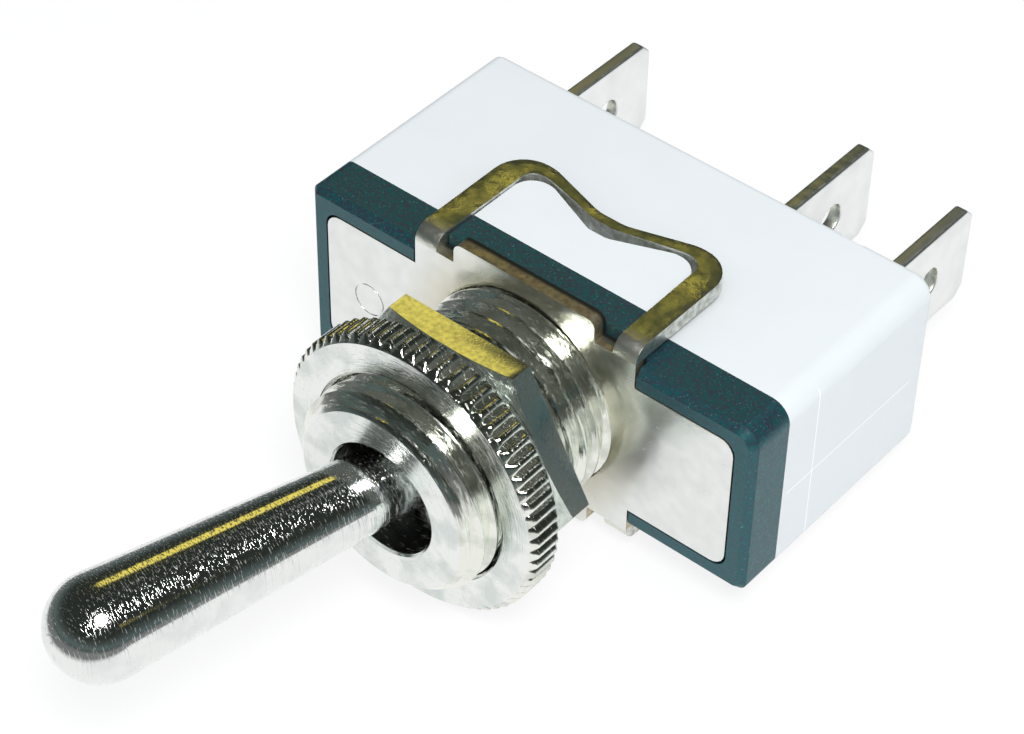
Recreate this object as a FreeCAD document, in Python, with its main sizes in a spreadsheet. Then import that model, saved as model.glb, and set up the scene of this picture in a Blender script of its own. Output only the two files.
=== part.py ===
import FreeCAD, Part
import math
import os
import Sketcher
from FreeCAD import Placement, Rotation, Vector

# Panel toggle switch with a bat lever, single pole, two ways, for tab connectors.
# The origin is on the bushing's axis at the front of the mounting plate. The bushing and
# the lever point to -Y, the tabs to +Y, X runs along the housing and +Z is up.
# The lever is in its left position, so the right pair of contacts is closed.

# Driving dimensions in millimetres and degrees, one named cell each
SIZES = [
    # Housing
    ("body_width", 29.5, "cover and case along X"),
    ("body_thickness", 11.2, "cover and case along Z"),
    ("cover_depth", 2.9, "black cover, front to seam"),
    ("case_depth", 12.6, "white case, seam to rear"),
    ("corner_radius", 0.6, "long edges of cover and case"),
    ("key_corner_radius", 1.2, "the one rounder long edge, at the top right"),
    ("cover_bevel", 0.4, "bevel round the cover's front"),
    ("rear_edge_radius", 0.45, "rounding round the case's rear"),
    ("case_wall", 1.1, "side walls of the case"),
    ("rear_wall", 1.4, "rear wall, which holds the tabs"),
    ("web_thickness", 1.5, "cover's floor behind the plate"),
    ("lip_depth", 1.5, "cover's lip inside the case"),
    ("lip_wall", 0.9, "thickness of that lip"),
    ("lip_gap", 0.05, "clearance round the lip"),
    ("pad_height", 1.0, "raised pad of cover and case inside each loop"),
    ("pad_gap", 0.1, "clearance between pad and the loop's legs"),
    ("pad_strap_gap", 0.2, "clearance between pad and rear bar"),
    ("pad_dip_gap", 0.62, "the same in the middle, where the bar dips"),
    ("pad_corner", 1.3, "corner radius of the pad"),
    ("gate_length", 1.5, "moulding gate notch at the rear top edge"),
    ("gate_depth", 0.3, "depth of that notch"),
    ("gate_inset", 5.15, "centre of that notch from the right side"),
    # Mounting bracket
    ("plate_thickness", 0.9, "sheet of the bracket"),
    ("cover_border", 1.25, "cover's rim round the plate"),
    ("plate_corner", 0.9, "plate's corner radius"),
    ("plate_gap", 0.1, "clearance round the plate in the cover"),
    ("plate_relief_depth", 0.08, "small round index mark on the plate"),
    ("index_radius", 1.05, "outer radius of that mark"),
    ("index_line", 0.12, "width of its ring"),
    ("index_inset", 4.15, "its centre from the left side"),
    ("loop_width", 14.55, "loop over both legs"),
    ("leg_width", 1.45, "one leg of the loop at the bend"),
    ("leg_taper", 0.1, "how much narrower a leg is at its rear"),
    ("loop_reach", 8.4, "rear of the loop from the plate's front"),
    ("loop_bar", 0.85, "rear bar of the loop at its bumps"),
    ("dip_bar", 0.63, "rear bar of the loop in its middle"),
    ("dip_depth", 1.2, "wave in the middle of the rear bar"),
    ("dip_half_width", 0.9, "flat part of the wave, each side of the middle"),
    ("bump_length", 2.55, "from the loop's side to where the wave starts"),
    ("loop_corner", 2.0, "outer corner radius of the loop"),
    ("loop_inside_corner", 0.85, "inner corner radius of the loop"),
    ("wave_radius", 2.6, "radius of the wave's bends"),
    ("strap_gap", 0.3, "space between case and strap"),
    ("bend_inside", 0.3, "inside radius of the strap's bend"),
    ("bend_outside", 0.8, "outside radius of the strap's bend"),
    ("tongue_width", 9.3, "tongue under the nut"),
    ("tongue_reach", 7.2, "tongue's edge from the axis"),
    ("relief_level", 5.95, "bottom of the relief notches"),
    # Bushing, with a thread of the same outer size
    ("thread_radius", 6.0, "bushing's outside, M12 fine"),
    ("bushing_length", 10.95, "plate to front face"),
    ("thread_chamfer", 0.74, "chamfer at the front end"),
    ("mouth_radius", 3.3, "hole that the lever leaves by"),
    ("rear_bore_radius", 4.0, "wider bore behind the ball, where the tail swings"),
    ("rear_bore_length", 3.0, "that bore, in front of the plate"),
    ("plate_hole_gap", 0.02, "clearance of the bushing in the plate's hole"),
    ("flange_half_length", 7.0, "flange behind the plate along X, from the axis"),
    ("flange_thickness", 0.8, "that flange"),
    ("flange_gap", 0.1, "clearance round the flange in the cover"),
    ("pivot_depth", 6.95, "lever's pivot in front of the plate"),
    ("pin_radius", 0.75, "pivot pin"),
    ("pin_length", 9.8, "pivot pin"),
    ("pin_gap", 0.05, "clearance round the pin"),
    ("pin_end_gap", 0.1, "clearance at each end of the pin"),
    # Lever
    ("lever_tilt", 13.3, "tilt to each side of the axis"),
    ("ball_radius", 2.6, "ball round the pivot"),
    ("neck_radius", 1.92, "lever where it leaves the ball"),
    ("tip_radius", 2.82, "round tip"),
    ("tip_distance", 19.5, "pivot to the centre of the tip"),
    ("tail_radius", 1.8, "tail inside the housing"),
    ("tail_bore", 1.2, "bore for spring and plunger"),
    ("tail_bore_start", 5.0, "bottom of that bore, from the pivot"),
    ("tail_chamfer", 0.3, "edge of the tail's end"),
    ("plunger_gap", 0.05, "clearance of the plunger in its bore"),
    ("plunger_shank", 5.25, "plunger's straight part"),
    ("plunger_showing", 1.65, "how much of that part stands out of the tail"),
    ("plunger_end_gap", 0.08, "clearance of the plunger's end in the trough"),
    ("wire_radius", 0.15, "spring wire"),
    ("coil_gap", 0.12, "clearance round the spring"),
    ("coil_turns", 5.0, "turns of the spring"),
    # Contacts
    ("rocker_tilt", 7.0, "tilt of the moving contact"),
    ("rocker_height", 2.97, "rocker's axis in front of the tabs' feet"),
    ("arm_overhang", 1.6, "rocker's end beyond the middle of its contact"),
    ("rocker_width", 4.2, "rocker along Z"),
    ("rocker_sheet", 0.8, "thickness of the rocker's strip"),
    ("rocker_lift", 1.2, "trough's floor above the axis"),
    ("trough_half_width", 3.9, "trough where it meets its shoulders"),
    ("arm_level", 0.45, "underside of the arms behind the axis"),
    ("shoulder_top", 0.8, "width of each shoulder's top"),
    ("shoulder_slope", 0.9, "run of each shoulder's outer slope"),
    ("trunnion_radius", 0.8, "rod that the rocker turns on"),
    ("trunnion_gap", 0.05, "clearance of the rod in its notch"),
    ("contact_inset", 2.75, "contacts from the outer blades"),
    ("contact_radius", 1.4, "contact heads"),
    ("contact_shank", 0.7, "contact shanks"),
    ("contact_dome", 4.0, "radius of the moving contact's dome"),
    ("fixed_contact_height", 0.7, "fixed contact's head"),
    ("contact_gap", 0.05, "gap of the closed pair, so that it does not overlap"),
    ("rivet_radius", 1.3, "cradle rivet's head"),
    ("rivet_height", 0.5, "cradle rivet's head"),
    ("cradle_sheet", 0.8, "sheet of the cradle"),
    ("cradle_half_length", 2.0, "cradle from the axis to each end"),
    ("cradle_play", 0.25, "rocker strip to each ear"),
    # Tabs
    ("tab_width", 6.3, "blade along Z"),
    ("tab_thickness", 0.8, "blade along X"),
    ("tab_length", 9.1, "blade behind the case"),
    ("middle_tab_extra", 0.9, "how much further the middle blade reaches"),
    ("outer_tab_inset", 3.6, "outer blades from the sides of the case"),
    ("middle_tab_place", 4.05, "middle blade right of the axis"),
    ("tab_tip_chamfer", 0.8, "corners of the blade's end"),
    ("tab_edge_bevel", 0.2, "bevel of the end across the thickness"),
    ("tab_hole_radius", 0.95, "hole in the blade"),
    ("tab_hole_place", 4.0, "hole from the blade's end"),
    ("tab_gap", 0.05, "slot clearance round a blade"),
    ("foot_bend", 0.3, "inside radius where a blade turns into its foot"),
    ("foot_overlap", 1.7, "foot beyond the middle of its contact"),
    # Nuts
    ("nut_gap", 0.05, "clearance of the nuts on the thread"),
    ("hex_across_flats", 14.0, "hexagon nut"),
    ("hex_thickness", 1.6, "hexagon nut"),
    ("hex_chamfer", 0.25, "corner chamfer at the hexagon nut's front"),
    ("nut_seam", 0.02, "space between the two nuts"),
    ("knurl_ring", 2.3, "knurled nut, from the thread to the rim"),
    ("knurl_thickness", 2.9, "knurled nut"),
    ("knurl_front", 2.09, "knurled nut's front behind the bushing's front"),
    ("knurl_bevel", 0.42, "bevel at the front of the knurled nut"),
    ("knurl_rear_bevel", 1.05, "bevel at its rear, along the axis"),
    ("knurl_rear_drop", 1.25, "bevel at its rear, off the radius"),
    ("knurl_depth", 0.38, "depth of one groove"),
    ("knurl_open", 0.62, "width of one groove at the rim"),
    ("knurl_count", 66, "grooves round the nut"),
    ("bore_chamfer", 0.2, "countersink of both nuts"),
]

doc = FreeCAD.newDocument("toggle_switch")
sheet = doc.addObject("Spreadsheet::Sheet", "Sizes")
for row, (alias, number, meaning) in enumerate(SIZES, start=1):
    sheet.set("A%d" % row, meaning)
    sheet.set("B%d" % row, str(number))
    sheet.setAlias("B%d" % row, alias)
doc.recompute()


class Size:
    """A length or angle that keeps both its number and the expression that gives it."""

    def __init__(self, number, text):
        self.number = float(number)
        self.text = text

    def __add__(self, other):
        other = as_size(other)
        return Size(self.number + other.number, "(%s + %s)" % (self.text, other.text))

    def __sub__(self, other):
        other = as_size(other)
        return Size(self.number - other.number, "(%s - %s)" % (self.text, other.text))

    def __mul__(self, other):
        other = as_size(other)
        return Size(self.number * other.number, "(%s * %s)" % (self.text, other.text))

    def __truediv__(self, other):
        other = as_size(other)
        return Size(self.number / other.number, "(%s / %s)" % (self.text, other.text))

    def __neg__(self):
        return Size(-self.number, "(-1 * %s)" % self.text)


def as_size(value):
    return value if isinstance(value, Size) else Size(value, "%.6g" % value)


def cell(alias):
    return Size(sheet.get(alias), "Sizes.%s" % alias)


def sine(angle):
    return Size(math.sin(math.radians(angle.number)), "sin(%s)" % angle.text)


def cosine(angle):
    return Size(math.cos(math.radians(angle.number)), "cos(%s)" % angle.text)


def tangent(angle):
    return Size(math.tan(math.radians(angle.number)), "tan(%s)" % angle.text)


def root(value):
    return Size(math.sqrt(value.number), "sqrt(%s)" % value.text)


def leg(hypotenuse, other_leg):
    """The third side of a right triangle."""
    return root(hypotenuse * hypotenuse - other_leg * other_leg)


ZERO = as_size(0)


# Sketches and features
def new_body(label, base=None, turn=None):
    """A body whose own frame stands at base and is turned by turn about Z."""
    body = doc.addObject("PartDesign::Body", label)
    body.Label = label
    if base is not None:
        body.Placement = Placement(Vector(0, base.number, 0), Rotation(Vector(0, 0, 1), turn.number))
        body.setExpression(".Placement.Base.y", base.text)
        body.setExpression(".Placement.Rotation.Angle", turn.text)
    return body


def new_sketch(body, role, offset=None):
    """A sketch on one of the body's origin planes, moved along the plane's normal."""
    plane = [feature for feature in body.Origin.OriginFeatures if feature.Role == role][0]
    sketch = body.newObject("Sketcher::SketchObject", "%s_sketch" % body.Label)
    sketch.AttachmentSupport = [(plane, "")]
    sketch.MapMode = "FlatFace"
    if offset is not None:
        sketch.AttachmentOffset = Placement(Vector(0, 0, offset.number), Rotation())
        sketch.setExpression(".AttachmentOffset.Base.z", offset.text)
    return sketch


def plan_sketch(body, level=None):
    """Seen from above: the sketch's axes are X and Y."""
    return new_sketch(body, "XY_Plane", level)


def front_sketch(body, depth):
    """Parallel to the plate, depth behind its front: the sketch's axes are X and Z."""
    return new_sketch(body, "XZ_Plane", -depth)


def side_sketch(body, place=None):
    """Seen from the end: the sketch's axes are Y and Z."""
    return new_sketch(body, "YZ_Plane", place)


def hold_point(sketch, geometry, point, across, along):
    """Fix a point of the geometry at two sizes, measured from the sketch's origin."""
    for kind, size, axis in (("DistanceX", across, -2), ("DistanceY", along, -1)):
        if size is ZERO:
            sketch.addConstraint(Sketcher.Constraint("PointOnObject", geometry, point, axis))
            continue
        number = sketch.addConstraint(
            Sketcher.Constraint(kind, -1, 1, geometry, point, size.number))
        sketch.setExpression("Constraints[%d]" % number, size.text)


def hold_radius(sketch, geometry, radius):
    number = sketch.addConstraint(Sketcher.Constraint("Radius", geometry, radius.number))
    sketch.setExpression("Constraints[%d]" % number, radius.text)


def add_circle(sketch, across, along, radius):
    centre = Vector(across.number, along.number, 0)
    circle = sketch.addGeometry(Part.Circle(centre, Vector(0, 0, 1), radius.number), False)
    hold_point(sketch, circle, 3, across, along)
    hold_radius(sketch, circle, radius)


def add_outline(sketch, corners):
    """A closed outline. A corner is (across, along), or has a third item if the edge that
    leaves it is an arc: its radius, with a sign, positive where it turns to the left."""
    edges = []
    for corner, following in zip(corners, corners[1:] + corners[:1]):
        start = Vector(corner[0].number, corner[1].number, 0)
        end = Vector(following[0].number, following[1].number, 0)
        if len(corner) == 2:
            edges.append((sketch.addGeometry(Part.LineSegment(start, end), False), 1, 2))
            continue
        radius, to_left = corner[2]
        chord = end - start
        away = math.sqrt(max(radius.number ** 2 - (chord.Length / 2) ** 2, 0))
        normal = Vector(-chord.y, chord.x, 0).normalize() * (away if to_left else -away)
        centre = (start + end) * 0.5 + normal
        first, last = (start, end) if to_left else (end, start)
        angles = [math.atan2(point.y - centre.y, point.x - centre.x) for point in (first, last)]
        if angles[1] < angles[0]:
            angles[1] += 2 * math.pi
        arc = Part.ArcOfCircle(Part.Circle(centre, Vector(0, 0, 1), radius.number), *angles)
        geometry = sketch.addGeometry(arc, False)
        hold_radius(sketch, geometry, radius)
        edges.append((geometry, 1, 2) if to_left else (geometry, 2, 1))
    for index, (geometry, start, _) in enumerate(edges):
        before, _, end = edges[index - 1]
        sketch.addConstraint(Sketcher.Constraint("Coincident", before, end, geometry, start))
        hold_point(sketch, geometry, start, corners[index][0], corners[index][1])


def add_rectangle(sketch, left, right, low, high):
    add_outline(sketch, [(left, low), (right, low), (right, high), (left, high)])


def add_feature(body, kind, sketch):
    feature = body.newObject("PartDesign::%s" % kind, "%s_%s" % (body.Label, kind.lower()))
    feature.Profile = sketch
    body.Tip = feature
    sketch.Visibility = False
    return feature


def extrude(body, kind, sketch, length, symmetric=False, backwards=False):
    """A Pad or a Pocket. A Pad goes along the sketch's normal and a Pocket against it."""
    feature = add_feature(body, kind, sketch)
    feature.Length = length.number
    feature.setExpression("Length", length.text)
    feature.SideType = "Symmetric" if symmetric else "One side"
    feature.Reversed = backwards
    return feature


def pad_to_rear(body, sketch, length):
    return extrude(body, "Pad", sketch, length, backwards=True)


def cut_to_rear(body, sketch, length):
    return extrude(body, "Pocket", sketch, length)


def pad_both_ways(body, sketch, length):
    return extrude(body, "Pad", sketch, length, symmetric=True)


def cut_both_ways(body, sketch, length):
    return extrude(body, "Pocket", sketch, length, symmetric=True)


def turn_about_axis(body, kind, sketch):
    """A Revolution or a Groove about the Y axis of a plan sketch."""
    feature = add_feature(body, kind, sketch)
    feature.ReferenceAxis = (sketch, ["V_Axis"])
    feature.Angle = 360
    return feature


def dress_edges(body, kind, test, size):
    """A Fillet or a Chamfer on the edges of the body's shape that pass the test."""
    doc.recompute()
    base = body.Tip
    names = ["Edge%d" % number for number, edge in enumerate(base.Shape.Edges, start=1) if test(edge)]
    feature = body.newObject("PartDesign::%s" % kind, "%s_%s" % (body.Label, kind.lower()))
    feature.Base = (base, names)
    quantity = "Radius" if kind == "Fillet" else "Size"
    setattr(feature, quantity, size.number)
    feature.setExpression(quantity, size.text)
    body.Tip = feature
    return feature


def near(value, size):
    return abs(value - as_size(size).number) < 0.02


def runs_along(edge, axis):
    """True for a straight edge along X, Y or Z."""
    box = edge.BoundBox
    lengths = {"X": box.XLength, "Y": box.YLength, "Z": box.ZLength}
    across = sum(length for name, length in lengths.items() if name != axis)
    return edge.Curve.TypeId == "Part::GeomLine" and across < 0.01 and lengths[axis] > 0.05


# Places that several pieces share
half_width = cell("body_width") / 2
half_thickness = cell("body_thickness") / 2
seam = cell("cover_depth")
rear = cell("cover_depth") + cell("case_depth")
cavity_rear = rear - cell("rear_wall")
cavity_half_width = half_width - cell("case_wall")
cavity_half_thickness = half_thickness - cell("case_wall")
web_rear = cell("plate_thickness") + cell("web_thickness")
plate_half_length = half_width - cell("cover_border")
plate_half_height = half_thickness - cell("cover_border")
pivot = -cell("pivot_depth")
ball_radius = cell("ball_radius")
foot_front = cavity_rear - cell("tab_thickness")
strap_under = half_thickness + cell("strap_gap")
strap_top = strap_under + cell("plate_thickness")
pad_top = half_thickness + cell("pad_height")
loop_half = cell("loop_width") / 2
loop_inside = loop_half - cell("leg_width")
pad_half_length = loop_inside - cell("pad_gap")
wave_start = loop_half - cell("bump_length")
outer_tab = half_width - cell("outer_tab_inset")
contact = outer_tab - cell("contact_inset")
rocker_axis = foot_front - cell("rocker_height")
plunger_radius = cell("tail_bore") - cell("plunger_gap")
trough_floor = rocker_axis - cell("rocker_lift") - cell("plunger_end_gap")
plunger_reach = trough_floor - plunger_radius - pivot
plunger_start = plunger_reach - cell("plunger_shank")
tail_length = plunger_reach - cell("plunger_showing")


# Bushing: a sleeve through the plate, with a flange behind it, a stepped bore and pin grooves
def make_bushing():
    body = new_body("bushing")
    front = -cell("bushing_length")
    thread = cell("thread_radius")
    rear_bore = cell("rear_bore_radius")
    mouth = cell("mouth_radius")
    plate = cell("plate_thickness")
    flange = cell("flange_thickness")
    sketch = plan_sketch(body)
    add_outline(sketch, [
        (mouth, front),
        (thread - cell("thread_chamfer"), front),
        (thread, front + cell("thread_chamfer")),
        (thread, plate),
        (rear_bore, plate),
        (rear_bore, -cell("rear_bore_length")),
        (mouth, -cell("rear_bore_length") - (rear_bore - mouth)),
    ])
    turn_about_axis(body, "Revolution", sketch)
    sketch = front_sketch(body, plate)
    add_rectangle(sketch, -cell("flange_half_length"), cell("flange_half_length"),
                  -plate_half_height, plate_half_height)
    add_circle(sketch, ZERO, ZERO, rear_bore)
    pad_to_rear(body, sketch, flange)
    dress_edges(body, "Fillet",
                lambda edge: (runs_along(edge, "Y") and near(abs(edge.CenterOfMass.x),
                                                            cell("flange_half_length"))),
                cell("plate_corner"))
    groove = cell("pin_radius") + cell("pin_gap")
    groove_length = cell("pin_length") + cell("pin_end_gap") * 2
    sketch = plan_sketch(body)
    add_rectangle(sketch, -groove, groove, pivot, plate + flange)
    cut_both_ways(body, sketch, groove_length)
    sketch = plan_sketch(body)
    add_circle(sketch, ZERO, pivot, groove)
    cut_both_ways(body, sketch, groove_length)
    return body


# Pivot pin: lies along Z in the grooves and passes through the lever's ball
def make_pivot_pin():
    body = new_body("pivot_pin")
    sketch = plan_sketch(body)
    add_circle(sketch, ZERO, pivot, cell("pin_radius"))
    pad_both_ways(body, sketch, cell("pin_length"))
    dress_edges(body, "Chamfer", lambda edge: edge.Curve.TypeId == "Part::GeomCircle",
                cell("pin_radius") / 5)
    return body


# Bat lever: round tip, taper to the ball, and a bored tail, drawn upright about its pivot
def make_bat_lever():
    body = new_body("bat_lever", pivot, -cell("lever_tilt"))
    neck = cell("neck_radius")
    neck_place = leg(ball_radius, neck)
    tip = cell("tip_radius")
    reach = cell("tip_distance")
    taper_length = reach - neck_place
    square = neck * neck + taper_length * taper_length
    side = root(square - tip * tip)
    touch_across = tip * (neck * tip + taper_length * side) / square
    touch_along = tip * (taper_length * tip - neck * side) / square - reach
    tail = cell("tail_radius")
    end = tail_length
    bore = cell("tail_bore")
    edge = cell("tail_chamfer")
    sketch = plan_sketch(body)
    add_outline(sketch, [
        (ZERO, -(reach + tip), (tip, True)),
        (touch_across, touch_along),
        (neck, -neck_place, (ball_radius, True)),
        (tail, leg(ball_radius, tail)),
        (tail, end - edge),
        (tail - edge, end),
        (bore, end),
        (bore, cell("tail_bore_start")),
        (ZERO, cell("tail_bore_start") - bore / 2),
    ])
    turn_about_axis(body, "Revolution", sketch)
    sketch = plan_sketch(body)
    add_circle(sketch, ZERO, ZERO, cell("pin_radius") + cell("pin_gap"))
    cut_both_ways(body, sketch, ball_radius * 3)
    return body


# Plunger: slides in the tail's bore and presses on the rocker's trough
def make_plunger():
    body = new_body("plunger", pivot, -cell("lever_tilt"))
    radius = plunger_radius
    sketch = plan_sketch(body)
    add_outline(sketch, [
        (ZERO, plunger_start),
        (radius, plunger_start),
        (radius, plunger_reach, (radius, True)),
        (ZERO, plunger_reach + radius),
    ])
    turn_about_axis(body, "Revolution", sketch)
    return body


# Plunger spring: a coil between the bore's bottom and the plunger, its wire drawn six-sided
def make_plunger_spring():
    body = new_body("plunger_spring", pivot, -cell("lever_tilt"))
    wire = cell("wire_radius")
    start = cell("tail_bore_start") + wire
    coil = cell("tail_bore") - cell("coil_gap") - wire
    sketch = plan_sketch(body)
    sixths = [as_size(60 * number + 30) for number in range(6)]
    add_outline(sketch, [
        (coil + wire * cosine(angle), start + wire * sine(angle)) for angle in sixths])
    helix = add_feature(body, "AdditiveHelix", sketch)
    helix.ReferenceAxis = (sketch, ["V_Axis"])
    helix.Mode = "height-turns-angle"
    height = plunger_start - start - wire
    helix.Height = height.number
    helix.setExpression("Height", height.text)
    helix.Turns = cell("coil_turns").number
    helix.setExpression("Turns", cell("coil_turns").text)
    return body


# Hexagon nut: a flat side faces up
def make_hex_nut():
    body = new_body("hex_nut")
    front = knurl_rear + cell("nut_seam")
    flat = cell("hex_across_flats") / 2
    corner = flat / cosine(as_size(30))
    thickness = cell("hex_thickness")
    sketch = front_sketch(body, front)
    add_outline(sketch, [
        (corner, ZERO), (corner / 2, flat), (-(corner / 2), flat),
        (-corner, ZERO), (-(corner / 2), -flat), (corner / 2, -flat),
    ])
    pad_to_rear(body, sketch, thickness)
    chamfer = cell("hex_chamfer")
    drop = corner - flat
    sketch = plan_sketch(body)
    add_outline(sketch, [
        (flat, front), (corner + drop, front), (corner + drop, front + chamfer * 2)])
    turn_about_axis(body, "Groove", sketch)
    cut_nut_bore(body, front, thickness)
    return body


def cut_nut_bore(body, front, thickness):
    """The bore of a nut, countersunk at both faces."""
    bore = cell("thread_radius") + cell("nut_gap")
    countersink = cell("bore_chamfer")
    sketch = plan_sketch(body)
    add_outline(sketch, [
        (ZERO, front), (bore + countersink, front), (bore, front + countersink),
        (bore, front + thickness - countersink), (bore + countersink, front + thickness),
        (ZERO, front + thickness)])
    turn_about_axis(body, "Groove", sketch)


# Knurled nut: bevelled ring with straight grooves round its rim
def make_knurled_nut():
    body = new_body("knurled_nut")
    front = knurl_front_face
    thickness = cell("knurl_thickness")
    rim = cell("thread_radius") + cell("knurl_ring")
    bevel = cell("knurl_bevel")
    bore = cell("thread_radius") + cell("nut_gap")
    countersink = cell("bore_chamfer")
    sketch = plan_sketch(body)
    add_outline(sketch, [
        (bore + countersink, front), (rim - bevel, front), (rim, front + bevel),
        (rim, front + thickness - cell("knurl_rear_bevel")),
        (rim - cell("knurl_rear_drop"), front + thickness),
        (bore + countersink, front + thickness), (bore, front + thickness - countersink),
        (bore, front + countersink)])
    turn_about_axis(body, "Revolution", sketch)
    half_open = cell("knurl_open") / 2
    over = rim + cell("knurl_depth")
    sketch = front_sketch(body, front)
    add_outline(sketch, [
        (rim - cell("knurl_depth"), ZERO), (over, -(half_open * 2)), (over, half_open * 2)])
    groove = cut_to_rear(body, sketch, thickness)
    doc.recompute()
    pattern = body.newObject("PartDesign::PolarPattern", "knurl")
    pattern.Originals = [groove]
    pattern.Axis = (sketch, ["N_Axis"])
    pattern.Angle = 360
    pattern.Occurrences = int(cell("knurl_count").number)
    pattern.setExpression("Occurrences", cell("knurl_count").text)
    body.Tip = pattern
    return body


# Mounting bracket: one stamped sheet whose two wavy loops bend back over the case
def make_mounting_bracket():
    body = new_body("mounting_bracket")
    sheet_metal = cell("plate_thickness")
    half_length = plate_half_length
    half_height = plate_half_height
    tongue = cell("tongue_width") / 2
    tongue_reach = cell("tongue_reach")
    relief = cell("relief_level")
    quarter = [
        (half_length, half_height), (loop_half, half_height), (loop_half, strap_top),
        (loop_inside, strap_top), (loop_inside, relief), (tongue, relief), (tongue, tongue_reach)]
    left_top = [(-across, up) for across, up in reversed(quarter)]
    left_low = [(-across, -up) for across, up in quarter]
    right_low = [(across, -up) for across, up in reversed(quarter)]
    sketch = front_sketch(body, ZERO)
    add_outline(sketch, quarter + left_top + left_low + right_low)
    add_circle(sketch, ZERO, ZERO, cell("thread_radius") + cell("plate_hole_gap"))
    pad_to_rear(body, sketch, sheet_metal)

    sketch = plan_sketch(body, strap_under)
    add_outline(sketch, loop_outline())
    strap = extrude(body, "Pad", sketch, sheet_metal)
    doc.recompute()
    mirror = body.newObject("PartDesign::Mirrored", "lower_loop")
    mirror.Originals = [strap]
    mirror.MirrorPlane = (sketch, [""])
    body.Tip = mirror
    plane = [feature for feature in body.Origin.OriginFeatures if feature.Role == "XY_Plane"][0]
    mirror.MirrorPlane = (plane, [""])

    def at_bend(edge, along, up):
        middle = edge.CenterOfMass
        return runs_along(edge, "X") and near(middle.y, along) and near(abs(middle.z), up)

    def loop_edge(edge, across, along):
        middle = edge.CenterOfMass
        return (runs_along(edge, "Z") and near(abs(middle.x), across) and near(middle.y, along)
                and abs(middle.z) > half_thickness.number)

    outside, inside = loop_sides()
    dress_edges(body, "Fillet", lambda edge: loop_edge(edge, *outside[1]), cell("loop_corner"))
    dress_edges(body, "Fillet", lambda edge: loop_edge(edge, *inside[2]),
                cell("loop_inside_corner"))
    bends = outside[2:] + inside[:2]
    dress_edges(body, "Fillet", lambda edge: any(loop_edge(edge, *bend) for bend in bends),
                cell("wave_radius"))
    dress_edges(body, "Fillet",
                lambda edge: at_bend(edge, sheet_metal, strap_under), cell("bend_inside"))
    dress_edges(body, "Fillet", lambda edge: (at_bend(edge, ZERO, strap_top)
                                              and abs(edge.CenterOfMass.x) > loop_inside.number),
                cell("bend_outside"))
    dress_edges(body, "Fillet",
                lambda edge: (runs_along(edge, "Y") and near(abs(edge.CenterOfMass.x), half_length)
                              and near(abs(edge.CenterOfMass.z), half_height)),
                cell("plate_corner"))
    sketch = front_sketch(body, ZERO)
    index = cell("index_inset") - half_width
    add_circle(sketch, index, ZERO, cell("index_radius"))
    add_circle(sketch, index, ZERO, cell("index_radius") - cell("index_line"))
    cut_to_rear(body, sketch, cell("plate_relief_depth"))
    return body


def loop_sides():
    """The right half of a loop in plan: outside from front to middle, inside back."""
    reach = cell("loop_reach")
    dip = reach - cell("dip_depth")
    bar = cell("loop_bar")
    start = wave_start
    flat = cell("dip_half_width")
    outside = [(loop_half, ZERO), (loop_half, reach), (start, reach), (flat, dip)]
    inside = [(flat - bar / 3, dip - cell("dip_bar")), (start - bar / 3, reach - bar),
              (loop_inside + cell("leg_taper"), reach - bar), (loop_inside, ZERO)]
    return outside, inside


def loop_outline():
    """One loop in plan: the outside from right to left, then the inside back."""
    outside, inside = loop_sides()
    return (outside + [(-across, along) for across, along in reversed(outside)]
            + [(-across, along) for across, along in reversed(inside)] + inside)


def pad_outline():
    """The raised pad of the case, which fills a loop with a gap that is widest at the dip."""
    reach = cell("loop_reach") - cell("loop_bar") - cell("pad_strap_gap")
    dip = cell("loop_reach") - cell("dip_depth") - cell("dip_bar") - cell("pad_dip_gap")
    across = pad_half_length
    start = across - cell("pad_corner") * 1.3
    flat = cell("dip_half_width") - cell("loop_bar") / 3
    return [(across, seam), (across, reach), (start, reach), (flat, dip),
            (-flat, dip), (-start, reach), (-across, reach), (-across, seam)]


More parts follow.
